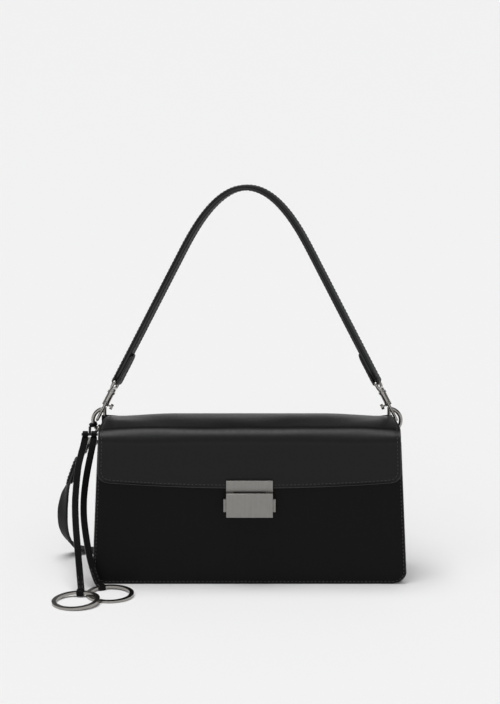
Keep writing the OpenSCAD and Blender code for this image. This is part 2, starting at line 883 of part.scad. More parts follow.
module flap_tongue() {
    y0 = flap_front - tongue_t;
    low = plate_base - tongue_drop;
    color("#8d8c8a") placed() difference() {
        box(-tongue_w / 2, tongue_w / 2, y0, flap_front, low, plate_base + tongue_rise);
        for (s = [-1, 1]) translate([s * (arm_end + catch_from + catch_w / 2) - catch_hole_w / 2, y0 - cut,
            low + catch_hole_up]) cube([catch_hole_w, tongue_t + 2 * cut, catch_hole_h]);
    }
}

module flap_rivets() {
    color("#77777a") placed() flap_rivet_places() cylinder(h = flap_sum, r = screw_r);
}

// D-ring: upright bar held by the tab, bow standing outward
module d_ring(bar_x) {
    translate([bar_x, ring_y, ring_z]) {
        rotate([90, 0, 0]) rotate([0, 0, -90]) rotate_extrude(angle = 180, $fn = 96)
            translate([bow_r, 0]) circle(wire_r, $fn = 32);
        translate([0, 0, -bow_r - bar_end]) cylinder(h = 2 * (bow_r + bar_end), r = bar_r);
    }
}

module d_ring_right() {
    color("#a5a4a1") placed() d_ring(bar_right);
}

module d_ring_left() {
    color("#a5a4a1") placed() mirror([1, 0, 0]) d_ring(bar_left);
}

// Carries a piece from the strap's upright frame to its place on the D-rings
module strap_place() {
    translate([0, ring_y, hinge_z]) rotate([-strap_lean, 0, 0]) children();
}

// Frame of one hook: origin on the held wire, Z along the hook, X away from the bag
module hook_place(side) {
    strap_place() translate([side > 0 ? cross_right : -cross_left, 0, 0])
        mirror([side > 0 ? 0 : 1, 0, 0]) rotate([0, -strap_side_a, 0]) children();
}

// The strap's middle line in its upright frame, from the left eye over to the right
side_slope = tan(strap_side_a);
strap_start = (eye_reach + outer_leg) * cos(strap_side_a);
arch_z = strap_rise * arch_share;
arch_x = strap_half - arch_z * side_slope;
arch_pull = strap_rise * arch_pull_share;
function side_point(z) = [strap_half - z * side_slope, 0, z];
function right_half() = let (p = [[0, 0, strap_rise], [arch_pull, 0, strap_rise],
        [arch_x - arch_pull * sin(strap_side_a), 0, arch_z + arch_pull * cos(strap_side_a)],
        [arch_x, 0, arch_z]])
    concat([for (i = [0:arch_steps]) bez(p, i / arch_steps)],
        [for (i = [1:side_steps]) side_point(arch_z + (strap_start - arch_z) * i / side_steps)]);
function strap_route() = let (r = right_half(), n = len(r) - 1)
    [for (p = concat([for (i = [n:-1:1]) [-r[i][0], 0, r[i][2]]], r)) p + [strap_mid, 0, 0]];
function strap_ways() = [for (p = strap_route()) [sin(strap_turn), cos(strap_turn), 0]];

module strap_outer() {
    color("#1b1b1c") placed() strap_place()
        strip(strap_route(), strap_ways(), strap_w, strap_inner_t / 2,
            strap_inner_t / 2 + strap_outer_t);
}

module strap_inner() {
    color("#151516") placed() strap_place()
        strip(strap_route(), strap_ways(), strap_w, -strap_inner_t / 2, strap_inner_t / 2);
}

// Turned end of a strap round an eye's bar: outer leg, bend and inner leg with round tip
module turned_end(wide, thick, out_l, in_l) {
    r = wrap_r + thick;
    difference() {
        union() {
            along_y(-wide / 2, wide / 2) difference() {
                union() {
                    intersection() {
                        circle(r);
                        translate([-r, -r]) square([2 * r, r]);
                    }
                    translate([-r, 0]) square([thick, in_l - wide / 2]);
                    translate([wrap_r, 0]) square([thick, out_l]);
                }
                circle(wrap_r);
                translate([-wrap_r, 0]) square([2 * wrap_r, in_l + out_l]);
            }
            translate([-r, 0, in_l - wide / 2]) rotate([0, 90, 0]) cylinder(h = thick, r = wide / 2);
        }
        along_y(-wide, wide) translate([-wrap_r, -cut]) square([2 * wrap_r, cut + wrap_r]);
    }
}

module strap_end(side) {
    hook_place(side) rotate([0, 0, -side * side_turn]) translate([0, 0, eye_reach])
        turned_end(strap_w, strap_outer_t, outer_leg, fold_l);
}

module strap_end_right() {
    color("#1b1b1c") placed() strap_end(1);
}

module strap_end_left() {
    color("#1b1b1c") placed() strap_end(-1);
}

// Swivel eye: a rounded stirrup of wire on a collar with a post in the barrel
module eye(inner_w, turn = 0) {
    z0 = barrel_top + hook_collar_up + eye_gap;
    low = z0 + collar_t + eye_r - eye_sink;
    bend = eye_bend;
    a = inner_w / 2 + eye_r;
    translate([0, barrel_y, 0]) {
        translate([0, 0, z0 - post_l]) cylinder(h = post_l, r = post_r);
        translate([0, 0, z0]) cylinder(h = collar_t, r = barrel_r);
    }
    rotate([0, 0, turn]) for (s = [-1, 1]) {
        translate([0, s * a, low + bend]) cylinder(h = eye_reach - low - 2 * bend, r = eye_r);
        for (t = [0, 1]) translate([0, s * (a - bend), t > 0 ? eye_reach - bend : low + bend])
            rotate([0, 90, 0]) rotate([0, 0, s > 0 ? (t > 0 ? 90 : 0) : (t > 0 ? 180 : 270)])
                rotate_extrude(angle = 90, $fn = 48) translate([bend, 0]) circle(eye_r, $fn = 32);
    }
    rotate([0, 0, turn]) for (z = [low, eye_reach]) translate([0, -a + bend, z])
        rotate([-90, 0, 0]) cylinder(h = 2 * (a - bend), r = eye_r);
}

// Hook body: barrel with a collar, shoulder, spine, bend and tip, bored for bolt and post
module hook() {
    c = (bolt_y - hook_gap) / 2;
    bend = (bolt_y + hook_gap) / 2;
    bend_z = -hook_depth + bend;
    difference() {
        union() {
            translate([0, barrel_y, barrel_base])
                cylinder(h = barrel_top - barrel_base, r = barrel_r);
            translate([0, barrel_y, barrel_top + hook_collar_up - hook_collar_t])
                cylinder(h = hook_collar_t, r = barrel_r + hook_collar_out);
            box(-hook_r + shoulder_side, hook_r - shoulder_side, -hook_gap,
                barrel_y - shoulder_back, barrel_base, barrel_base + shoulder_h);
            translate([0, -hook_gap, bend_z])
                cylinder(h = barrel_base + shoulder_h - bend_z, r = hook_r);
            translate([0, c, bend_z]) rotate([90, 0, 90]) rotate([0, 0, 180])
                rotate_extrude(angle = 180, $fn = 64) translate([bend, 0])
                    circle(hook_r, $fn = 32);
            translate([0, bolt_y, bend_z]) cylinder(h = tip_z - bend_z, r = hook_r);
        }
        translate([0, bolt_y, barrel_base - cut])
            cylinder(h = cut + bolt_seat + bolt_travel + near_gap, r = bolt_d / 2 + run_gap);
        translate([0, barrel_y, barrel_top - post_l + post_play])
            cylinder(h = post_l + cut, r = post_r + run_gap);
        box(-barrel_r - cut, 0, bolt_y - arm_r - arm_play, bolt_y + arm_r + arm_play,
            barrel_base - cut, barrel_base + 2.2 * arm_r + bolt_travel + arm_end_play);
    }
}

// Sliding bolt: closes the gap to the hook's tip, with a knob on a side arm
module bolt() {
    z_arm = barrel_base + arm_r + arm_up;
    translate([0, bolt_y, tip_z + near_gap])
        cylinder(h = barrel_base + bolt_seat - near_gap - tip_z, r = bolt_d / 2);
    translate([-knob_x, bolt_y, z_arm]) rotate([0, 90, 0]) cylinder(h = knob_x, r = arm_r);
    translate([-knob_x - knob_t, bolt_y, z_arm]) rotate([0, 90, 0])
        cylinder(h = knob_t, r = knob_r);
}

module strap_eye_right() {
    color("#a5a4a1") placed() hook_place(1) eye(strap_w + 2 * eye_side, -side_turn);
}

module strap_eye_left() {
    color("#a5a4a1") placed() hook_place(-1) eye(strap_w + 2 * eye_side, side_turn);
}

module strap_hook_right() {
    color("#a5a4a1") placed() hook_place(1) hook();
}

module strap_hook_left() {
    color("#a5a4a1") placed() hook_place(-1) hook();
}

module strap_bolt_right() {
    color("#979693") placed() hook_place(1) bolt();
}

module strap_bolt_left() {
    color("#979693") placed() hook_place(-1) bolt();
}

// Frame of the long strap's near hook, which hangs on the left D-ring
near_dir = [-sin(near_lean), 0, -cos(near_lean)];
near_wire = [-bar_left + bow_r * cos(near_a), ring_y, ring_z + bow_r * sin(near_a)];
near_end = near_wire + (near_slack + eye_reach) * near_dir;
near_fall = [-sin(near_hang), 0, -cos(near_hang)];
module near_place() {
    translate(near_wire + near_slack * near_dir) rotate([0, 180 + near_lean, 0]) children();
}

// The coil: straight runs and half turns that draw in by half a pitch each
coil_ring = 12;
function coil_side(k) = k % 2 == 0 ? 1 : -1;
function coil_radius(k) = coil_r - k * coil_pitch / 2;
function coil_arc(k) = [for (i = [0:coil_ring])
    let (t = i / coil_ring, s = coil_side(k), r = coil_radius(k) - t * coil_pitch / 2)
    [coil_x + s * (coil_run / 2 + r * sin(180 * t)), coil_y - s * r * cos(180 * t), long_w / 2]];
coil_last_y = coil_y - coil_radius(coil_half_turns);
function coil_route() = concat(
    [[coil_x - coil_run / 2, coil_y - coil_r, long_w / 2]],
    [for (k = [0:coil_half_turns - 1]) each coil_arc(k)],
    [for (t = tail_shares)
        [coil_x - coil_run / 2 + t[0] * (far_end_x - coil_x + coil_run / 2),
            coil_last_y + t[1] * (far_y - coil_last_y),
            long_w / 2 + t[1] * (far_z - long_w / 2)]]);

// The run: from the near fold, down to the table, turning on edge to meet the coil
function run_route() = concat([near_end + long_start * near_fall, near_end + long_next * near_fall,
    near_end + (long_fold_l + fold_over) * near_fall],
    long_route, [[coil_x - coil_run / 2, coil_y - coil_r, long_w / 2]]);
function run_ways() = let (n = len(run_route()) - 1)
    [for (i = [0:n]) let (edge = max(0, (i - 10) / (n - 10)),
        turn = i > 2 && i < 9 ? -long_turn * sin(180 * (i - 2) / 7) : 0)
        i < 10 ? [sin(turn), cos(turn), 0] : [0, cos(90 * edge), sin(90 * edge)]];

module long_strap_run() {
    color("#1d1d1e") placed() strip(run_route(), run_ways(), long_w, -long_t / 2, long_t / 2);
}

module long_strap_coil() {
    r = coil_route();
    color("#1d1d1e") placed() strip(r, [for (p = r) [0, 0, 1]], long_w, -long_t / 2, long_t / 2);
}

// Least gap of the coil to itself: neighbouring turns lie a pitch apart
function coil_gaps() = let (r = coil_route(), n = len(r) - 1)
    [for (i = [0:n], j = [i + coil_ring:n]) norm(r[i] - r[j]) - long_t];
echo(coil_least_gap_mm = min(coil_gaps()));

module long_end_near() {
    color("#1b1b1c") placed() translate(near_end) rotate([0, 180 + near_hang, 0])
        turned_end(long_w, long_t / 2, long_fold_l, long_fold_l);
}

module long_eye_near() {
    color("#a5a4a1") placed() near_place() eye(long_w + 2 * eye_side);
}

module long_hook_near() {
    color("#a5a4a1") placed() near_place() hook();
}

module long_bolt_near() {
    color("#979693") placed() near_place() bolt();
}

// Frame of the far hook: it lies along the last run, its eye upright on the table
module far_place() {
    translate([far_end_x + eye_reach + long_start, far_y, far_z]) rotate([0, -90, 0])
        rotate([0, 0, 90]) mirror([1, 0, 0]) children();
}

module long_end_far() {
    color("#1b1b1c") placed() far_place() translate([0, 0, eye_reach])
        turned_end(long_w, long_t / 2, long_fold_l, long_fold_l);
}

module long_eye_far() {
    color("#a5a4a1") placed() far_place() eye(long_w + 2 * eye_side);
}

module long_hook_far() {
    color("#a5a4a1") placed() far_place() hook();
}

module long_bolt_far() {
    color("#979693") placed() far_place() bolt();
}

// Keeper loop round the left bow, with a leather roll below it that carries the thongs
keeper_at = [-bar_left + (bow_r + keeper_shift) * cos(keeper_a), ring_y,
    ring_z + (bow_r + keeper_shift) * sin(keeper_a)];
module thong_keeper() {
    out = keeper_hole + keeper_t;
    pin = [pin_x, pin_y, pin_z];
    neck = [keeper_at + neck_from, pin + neck_by, pin + neck_to];
    color("#191919") placed() {
        translate(keeper_at) rotate([0, -keeper_a, 0]) difference() {
            cylinder(h = keeper_w, r = out, center = true);
            cylinder(h = keeper_w + cut, r = keeper_hole, center = true);
        }
        strip(neck, [for (p = neck) [1, 0, 0]], neck_w, -neck_t / 2, neck_t / 2);
        translate([pin_x - pin_l / 2, pin_y, pin_z]) rotate([0, 90, 0])
            cylinder(h = pin_l, r = pin_r);
    }
}

// A thong: a loop round the keeper's roll, the lace, and the loop round its ring
module thong(x, route, turn) {
    ways = [for (i = [0:len(route) - 1]) let (t = turn * min(1, i / 3)) [cos(t), sin(t), 0]];
    translate([x - loop_w / 2, pin_y, pin_z]) rotate([0, 90, 0]) difference() {
        cylinder(h = loop_w, r = pin_r + run_gap + thong_t);
        translate([0, 0, -cut]) cylinder(h = loop_w + 2 * cut, r = pin_r + run_gap);
    }
    strip(concat([[x, pin_y - lace_back, pin_z - lace_drop]], route), concat([[1, 0, 0]], ways), thong_w,
        -thong_t / 2, thong_t / 2);
}

// Flat loop of leather round a steel ring's rim, in the ring's own frame
module rim_loop(at) {
    a = key_rim / 2 + loop_gap;
    b = key_t / 2 + loop_gap;
    rotate([0, 0, at]) translate([key_r - key_rim / 2, -thong_w / 2, 0]) difference() {
        box(-a - loop_t, a + loop_t, 0, thong_w, -b - loop_t, b + loop_t);
        box(-a, a, -cut, thong_w + cut, -b, b);
    }
}

module key_left_place() {
    translate([pin_x + key_left[0], key_left[1], key_rise(key_left_tilt)])
        rotate(a = key_left_tilt, v = key_left_way) children();
}

module key_right_place() {
    translate([pin_x + key_right[0], key_right[1], key_rise(key_right_tilt)])
        rotate([key_right_tilt, 0, 0]) children();
}

module thong_left() {
    color("#1b1b1c") placed() {
        thong(pin_x - loop_x, [for (p = thong_left_route) [pin_x + p[0], p[1], p[2]]],
            thong_left_turn);
        key_left_place() rim_loop(key_left_at);
    }
}

module thong_right() {
    color("#1b1b1c") placed() {
        thong(pin_x + loop_x, [for (p = thong_right_route) [pin_x + p[0], p[1], p[2]]],
            thong_right_turn);
        key_right_place() rim_loop(key_right_at);
    }
}

module key_ring() {
    difference() {
        cylinder(h = key_t, r = key_r, center = true, $fn = 96);
        cylinder(h = key_t + cut, r = key_r - key_rim, center = true, $fn = 96);
    }
}

module key_ring_left() {
    color("#a09f9c") placed() key_left_place() key_ring();
}

module key_ring_right() {
    color("#a09f9c") placed() key_right_place() key_ring();
}

front_panel();
back_panel();
base_panel();
gusset_left();
gusset_right();
front_welt();
back_welt();
front_board();
back_board();
base_board();
lining();
inner_pocket();
ring_tab_left();
ring_tab_right();
tab_rivets();
lock_housing();
lock_face();
lock_back_plate();
lock_screws();
lock_button_left();
lock_button_right();
lock_springs();
flap_leather();
flap_lining();
flap_plate();
flap_tongue();
flap_rivets();
d_ring_left();
d_ring_right();
strap_outer();
strap_inner();
strap_end_left();
strap_end_right();
strap_eye_left();
strap_eye_right();
strap_hook_left();
strap_hook_right();
strap_bolt_left();
strap_bolt_right();
long_strap_run();
long_strap_coil();
long_end_near();
long_end_far();
long_eye_near();
long_eye_far();
long_hook_near();
long_hook_far();
long_bolt_near();
long_bolt_far();
thong_keeper();
thong_left();
thong_right();
key_ring_left();
key_ring_right();
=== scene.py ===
import json
import math
import bpy
import bmesh
from mathutils import Matrix, Vector, noise


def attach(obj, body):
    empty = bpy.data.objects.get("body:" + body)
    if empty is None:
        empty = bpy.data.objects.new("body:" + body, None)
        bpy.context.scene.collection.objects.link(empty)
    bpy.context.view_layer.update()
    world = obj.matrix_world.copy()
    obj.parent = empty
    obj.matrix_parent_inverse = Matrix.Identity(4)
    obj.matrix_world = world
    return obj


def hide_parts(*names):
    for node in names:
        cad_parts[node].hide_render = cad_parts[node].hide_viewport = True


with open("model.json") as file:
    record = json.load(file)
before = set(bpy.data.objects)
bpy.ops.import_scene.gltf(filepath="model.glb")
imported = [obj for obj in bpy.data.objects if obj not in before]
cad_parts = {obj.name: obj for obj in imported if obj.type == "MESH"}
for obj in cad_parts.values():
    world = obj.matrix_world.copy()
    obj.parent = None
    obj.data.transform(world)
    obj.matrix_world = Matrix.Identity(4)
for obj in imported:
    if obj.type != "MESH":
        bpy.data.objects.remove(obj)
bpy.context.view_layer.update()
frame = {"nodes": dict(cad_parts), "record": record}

bl_info = {
    "name": "Leather shoulder bag",
    "version": (1, 0, 0),
    "blender": (4, 5, 0),
    "location": "3D View > Sidebar > Bag",
    "description": "Dresses a flap shoulder bag with its straps, lock, lining and stitching",
    "category": "Object",
}

MM = 0.001
# The origin is the middle of the front panel's lower edge: the bag's middle stands this far back
SET_BACK = 29.2


def linear(code):
    """An sRGB hex colour as the linear values that Blender's shaders take."""
    parts = [int(code[i:i + 2], 16) / 255 for i in (1, 3, 5)]
    return [c / 12.92 if c <= 0.04045 else ((c + 0.055) / 1.055) ** 2.4 for c in parts] + [1.0]


# Settings that a user would change

class BagLeather(bpy.types.PropertyGroup):
    calf: bpy.props.FloatVectorProperty(name="Calf colour", description="Colour of the smooth calf",
        subtype="COLOR", default=linear("#0c0c0d")[:3], min=0, max=1)
    edge: bpy.props.FloatVectorProperty(name="Edge paint", description="Colour of the painted cut edges",
        subtype="COLOR", default=linear("#0b0b0c")[:3], min=0, max=1)
    thread: bpy.props.FloatVectorProperty(name="Thread", description="Colour of the stitching",
        subtype="COLOR", default=linear("#1c1c1e")[:3], min=0, max=1)
    stitch: bpy.props.FloatProperty(name="Stitch length", description="Distance from stitch to stitch",
        subtype="DISTANCE", unit="LENGTH", default=3.2 * MM, min=1.5 * MM, max=6 * MM)
    thread_d: bpy.props.FloatProperty(name="Thread diameter", description="Diameter of the thread",
        subtype="DISTANCE", unit="LENGTH", default=0.6 * MM, min=0.2 * MM, max=1.2 * MM)
    edge_r: bpy.props.FloatProperty(name="Edge rounding", description="Radius of the rubbed down edges",
        subtype="DISTANCE", unit="LENGTH", default=0.45 * MM, min=0.1 * MM, max=0.8 * MM)
    sag: bpy.props.FloatProperty(name="Sag", description="How far soft faces belly or dip",
        subtype="DISTANCE", unit="LENGTH", default=1.0 * MM, min=0, max=3 * MM)


class BagMetal(bpy.types.PropertyGroup):
    satin: bpy.props.FloatVectorProperty(name="Satin steel", description="Colour of the brushed lock",
        subtype="COLOR", default=linear("#8b8986")[:3], min=0, max=1)
    polished: bpy.props.FloatVectorProperty(name="Polished steel",
        description="Colour of hooks and rings", subtype="COLOR",
        default=linear("#9c9995")[:3], min=0, max=1)
    plain: bpy.props.FloatVectorProperty(name="Plain steel", description="Colour of hidden steel",
        subtype="COLOR", default=linear("#7d7b79")[:3], min=0, max=1)


class BagStage(bpy.types.PropertyGroup):
    floor: bpy.props.FloatVectorProperty(name="Floor", description="Colour of the studio floor",
        subtype="COLOR", default=linear("#f5f5f5")[:3], min=0, max=1)
    key: bpy.props.FloatProperty(name="Overhead light", description="Strength of the soft box above",
        default=1.9, min=0, max=10)
    front: bpy.props.FloatProperty(name="Front light", description="Strength of the light in front",
        default=0.85, min=0, max=10)
    fill: bpy.props.FloatProperty(name="Fill light", description="Strength of the surroundings",
        default=0.2, min=0, max=2)


def cosd(angle):
    """Cosine of an angle in degrees."""
    return math.cos(math.radians(angle))


def sind(angle):
    """Sine of an angle in degrees."""
    return math.sin(math.radians(angle))


def clamp(share):
    """A share, kept from 0 to 1."""
    return min(1.0, max(0.0, share))


# Shader building

def add(tree, kind, settings=None, links=None):
    """Adds a node, sets its own settings or its sockets by name or number, and links sockets."""
    made = tree.nodes.new(kind)
    for key, value in (settings or {}).items():
        if isinstance(key, str) and key not in made.inputs:
            setattr(made, key, value)
        else:
            made.inputs[key].default_value = value
    for key, source in (links or {}).items():
        tree.links.new(source, made.inputs[key])
    return made


def material(name, shader):
    """A new material with a Principled shader whose plain values are given."""
    made = bpy.data.materials.new(name)
    made.use_nodes = True
    tree = made.node_tree
    tree.nodes.clear()
    surface = add(tree, "ShaderNodeBsdfPrincipled", shader)
    add(tree, "ShaderNodeOutputMaterial", links={"Surface": surface.outputs["BSDF"]})
    place = add(tree, "ShaderNodeTexCoord").outputs["Object"]
    return made, tree, surface, place


def pattern(tree, place, texture, size_mm, settings):
    """A texture drawn at a real size, so many millimetres along each axis."""
    sized = add(tree, "ShaderNodeMapping", {"Scale": [1 / (size * MM) for size in size_mm]},
        {"Vector": place})
    return add(tree, texture, {"Scale": 1.0, **settings}, {"Vector": sized.outputs["Vector"]}).outputs


# The mix node's sockets for colours: both inputs and the output
MIX_LOW, MIX_HIGH, MIX_COLOUR = 6, 7, 2


def tint(tree, surface, colour, factor, darker, lighter):
    """Lets the base colour move between a darker and a lighter shade of itself."""
    low = [c * darker for c in colour[:3]] + [1]
    high = [c * lighter for c in colour[:3]] + [1]
    mixed = add(tree, "ShaderNodeMix", {"data_type": "RGBA", MIX_LOW: low, MIX_HIGH: high},
        {0: factor})
    tree.links.new(mixed.outputs[MIX_COLOUR], surface.inputs["Base Color"])


def polish(tree, surface, factor, low, high):
    """Lets the roughness move between two values."""
    ranged = add(tree, "ShaderNodeMapRange", {"To Min": low, "To Max": high}, {"Value": factor})
    tree.links.new(ranged.outputs["Result"], surface.inputs["Roughness"])


def relief(tree, surface, layers):
    """Bumps laid one over the other: each has a height, a strength and a depth in millimetres."""
    normal = {}
    for height, strength, depth in layers:
        bump = add(tree, "ShaderNodeBump", {"Strength": strength, "Distance": depth * MM},
            {"Height": height, **normal})
        normal = {"Normal": bump.outputs["Normal"]}
    tree.links.new(normal["Normal"], surface.inputs["Normal"])


def box_calf(name, colour, rough, grain_mm, gloss):
    """Calf leather, drum dyed and plated smooth: a fine closed grain breaks up a soft, low gloss,
    and pulled fibres leave faint upright streaks."""
    made, tree, surface, place = material(name, {"Base Color": list(colour) + [1],
        "Roughness": rough, "IOR": 1.48, "Specular IOR Level": gloss})
    grain = pattern(tree, place, "ShaderNodeTexVoronoi", [grain_mm] * 3,
        {"feature": "F1", "Randomness": 0.9})["Distance"]
    pores = pattern(tree, place, "ShaderNodeTexNoise", [2.2] * 3, {"Detail": 3.0})["Fac"]
    streaks = pattern(tree, place, "ShaderNodeTexNoise", (2.6, 2.6, 45),
        {"Detail": 4.0, "Roughness": 0.6})["Fac"]
    waves = pattern(tree, place, "ShaderNodeTexNoise", (42, 42, 30), {"Detail": 2.0})["Fac"]
    relief(tree, surface, ((grain, 0.22, 0.10), (pores, 0.25, 0.12), (streaks, 0.3, 0.12),
        (waves, 0.35, 0.9)))
    polish(tree, surface, streaks, rough - 0.07, rough + 0.10)
    tint(tree, surface, colour, streaks, 0.78, 1.3)
    return made


def edge_paint(name, colour):
    """Acrylic edge paint, rolled on in layers and rubbed down: a rounded, slightly shiny line
    with small waves, rubbed paler here and there."""
    made, tree, surface, place = material(name, {"Base Color": list(colour) + [1],
        "Roughness": 0.36, "IOR": 1.49, "Specular IOR Level": 0.45})
    waves = pattern(tree, place, "ShaderNodeTexNoise", [3] * 3, {"Detail": 2.0})["Fac"]
    wear = pattern(tree, place, "ShaderNodeTexNoise", [14] * 3, {"Detail": 5.0})["Fac"]
    relief(tree, surface, ((waves, 0.3, 0.15),))
    polish(tree, surface, wear, 0.28, 0.48)
    patches = add(tree, "ShaderNodeMapRange", {"To Min": -0.6, "To Max": 1.4}, {"Value": wear})
    tint(tree, surface, colour, patches.outputs["Result"], 0.8, 2.2)
    return made


def bonded_thread(name, colour):
    """Bonded nylon thread, three plies twisted: fine slanted ridges with a dull shine."""
    made, tree, surface, place = material(name, {"Base Color": list(colour) + [1],
        "Roughness": 0.5, "IOR": 1.53, "Specular IOR Level": 0.5, "Sheen Weight": 0.15,
        "Sheen Roughness": 0.4})
    plies = pattern(tree, place, "ShaderNodeTexWave", [1.2] * 3, {"wave_type": "BANDS",
        "bands_direction": "DIAGONAL", "Distortion": 0.6})["Fac"]
    relief(tree, surface, ((plies, 0.5, 0.12),))
    tint(tree, surface, colour, plies, 0.7, 1.3)
    return made


def woven_lining(name, colour):
    """Plain woven viscose lining: crossing threads 0.5 mm apart, drawn 1.8 mm apart so that
    they show, with a soft sheen."""
    made, tree, surface, place = material(name, {"Base Color": list(colour) + [1],
        "Roughness": 0.75, "IOR": 1.5, "Specular IOR Level": 0.3, "Sheen Weight": 0.3,
        "Sheen Roughness": 0.35})
    # A wave texture has 3.2 bands to its unit, so threads 1.8 mm apart need a unit of 5.6 mm
    warp, weft = (pattern(tree, place, "ShaderNodeTexWave", [5.6] * 3, {"wave_type": "BANDS",
        "bands_direction": way, "Distortion": 0.4, "Detail": 2.0})["Fac"] for way in "XZ")
    both = add(tree, "ShaderNodeMath", {"operation": "MULTIPLY"}, {0: warp, 1: weft}).outputs[0]
    relief(tree, surface, ((both, 0.5, 0.2),))
    tint(tree, surface, colour, both, 0.7, 1.35)
    return made


def worked_steel(name, colour, rough, brush_mm, depth):
    """Stainless steel, brushed along its length or tumbled bright: fine hairlines stretch each
    reflection across them, and handling leaves cloudy patches."""
    made, tree, surface, place = material(name, {"Base Color": list(colour) + [1],
        "Metallic": 1.0, "Roughness": rough})
    hair = pattern(tree, place, "ShaderNodeTexNoise", brush_mm,
        {"Detail": 5.0, "Roughness": 0.65})["Fac"]
    cloud = pattern(tree, place, "ShaderNodeTexNoise", [9] * 3, {"Detail": 3.0})["Fac"]
    relief(tree, surface, ((hair, 0.4, depth),))
    faint = add(tree, "ShaderNodeMapRange", {"To Min": 0.0, "To Max": 0.4}, {"Value": cloud})
    mean = add(tree, "ShaderNodeMath", {"operation": "MULTIPLY_ADD", 1: 0.6},
        {0: hair, 2: faint.outputs["Result"]}).outputs[0]
    polish(tree, surface, mean, rough - 0.07, rough + 0.14)
    tint(tree, surface, colour, mean, 0.68, 1.25)
    return made


def fibre_board(name):
    """Pressed leather-fibre board, dyed black through: short matted fibres, dull and mottled."""
    colour = linear("#262423")
    made, tree, surface, place = material(name, {"Base Color": colour, "Roughness": 0.9,
        "Specular IOR Level": 0.2})
    mat = pattern(tree, place, "ShaderNodeTexNoise", [1.5] * 3,
        {"Detail": 6.0, "Roughness": 0.7})["Fac"]
    relief(tree, surface, ((mat, 0.4, 0.2),))
    tint(tree, surface, colour, mat, 0.75, 1.25)
    return made


LOOKS = {}


def make_looks():
    """Every material of the bag, under a short name."""
    leather = bpy.context.scene.bag_leather
    metal = bpy.context.scene.bag_metal
    LOOKS["calf"] = box_calf("calf_plated_smooth", leather.calf, 0.36, 0.75, 0.23)
    LOOKS["panel_calf"] = box_calf("calf_smooth_matt", leather.calf, 0.42, 0.75, 0.1)
    LOOKS["strap_calf"] = box_calf("calf_strap_plated", leather.calf, 0.47, 0.75, 0.09)
    # The flap's lining is a split, the rougher lower layer of such a hide
    LOOKS["split"] = box_calf("split_leather_lining", linear("#1b1a1b")[:3], 0.66, 1.1, 0.17)
    LOOKS["edge"] = edge_paint("acrylic_edge_paint", leather.edge)
    LOOKS["thread"] = bonded_thread("nylon_thread_bonded", leather.thread)
    LOOKS["cloth"] = woven_lining("viscose_lining_woven", linear("#2c2a29")[:3])
    LOOKS["satin"] = worked_steel("stainless_steel_brushed", metal.satin, 0.36, (0.9, 0.9, 26), 0.05)
    LOOKS["bright"] = worked_steel("stainless_steel_tumbled", metal.polished, 0.17, (2, 2, 2), 0.015)
    LOOKS["plain"] = worked_steel("mild_steel_pressed", metal.plain, 0.42, (3, 3, 3), 0.04)
    LOOKS["board"] = fibre_board("leather_fibre_board_pressed")


# Mesh building, in millimetres

def placed(p):
    """A point given in millimetres from the bag's middle, in metres in the row frame."""
    return Vector((p[0], p[1] + SET_BACK, p[2])) * MM


def piece(name, points, faces, looks, body, marks=None, stands_for=(), smooth=True):
    """A closed mesh in the row frame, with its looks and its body."""
    mesh = bpy.data.meshes.new(name)
    work = bmesh.new()
    made = [work.verts.new(placed(p)) for p in points]
    for number, face in enumerate(faces):
        if len(set(face)) < 3:
            continue
        built = work.faces.new([made[i] for i in face])
        built.material_index = marks[number] if marks else 0
        built.smooth = smooth
    bmesh.ops.remove_doubles(work, verts=work.verts, dist=1e-7)
    bmesh.ops.recalc_face_normals(work, faces=work.faces)
    work.to_mesh(mesh)
    work.free()
    built = bpy.data.objects.new(name, mesh)
    bpy.context.scene.collection.objects.link(built)
    for look in looks:
        mesh.materials.append(LOOKS[look])
    if stands_for:
        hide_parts(*stands_for)
    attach(built, body)
    return built


def calf(name, made, look, body, *nodes):
    """A piece of smooth calf with painted edges, from its points, faces and marks."""
    points, faces, marks = made
    return piece(name, points, faces, [look, "edge"], body, marks, nodes)


def frames(route, ways, closed=False):
    """Along, across and over directions at each point of a route."""
    made, n = [], len(route)
    for i in range(n):
        after = route[(i + 1) % n if closed else min(i + 1, n - 1)]
        t = (after - route[i - 1 if closed or i else 0]).normalized()
        a = (ways[i] - ways[i].dot(t) * t).normalized()
        made.append((t, a, t.cross(a)))
    return made


def smoothed(points, steps):
    """Catmull-Rom points through the given ones."""
    made = []
    for i in range(len(points) - 1):
        a = points[max(i - 1, 0)]
        b, c = points[i], points[i + 1]
        d = points[min(i + 2, len(points) - 1)]
        for k in range(steps):
            t = k / steps
            made.append(0.5 * ((2 * b) + (c - a) * t + (2 * a - 5 * b + 4 * c - d) * t * t
                + (3 * b - a - 3 * c + d) * t ** 3))
    return made + [points[-1].copy()]


def bezier(p, t):
    """A point on the curve that four points draw."""
    return ((1 - t) ** 3 * p[0] + 3 * t * (1 - t) ** 2 * p[1] + 3 * t * t * (1 - t) * p[2]
        + t ** 3 * p[3])


def band(wide, low, high, round_r=0.5, dome=0.0):
    """Outline of a strap across its length: rounded edges, faces crowned by dome."""
    half, made = wide / 2, []
    r = min(round_r, (high - low) / 2 - 0.01)
    for sx, sy, start in ((1, 1, 0), (-1, 1, 90), (-1, -1, 180), (1, -1, 270)):
        for k in range(4):
            a = start + 30 * k
            y = (high - r) if sy > 0 else (low + r)
            made.append((sx * (half - r) + r * cosd(a), y + r * sind(a)))
        if start in (0, 180):
            top = high + dome if sy > 0 else low
            for share in (0.8, 0.5, 0.0, -0.5, -0.8):
                x = share * (half - r) * (1 if sy > 0 else -1)
                made.append((x, top - (dome * share * share if sy > 0 else 0)))
    return made


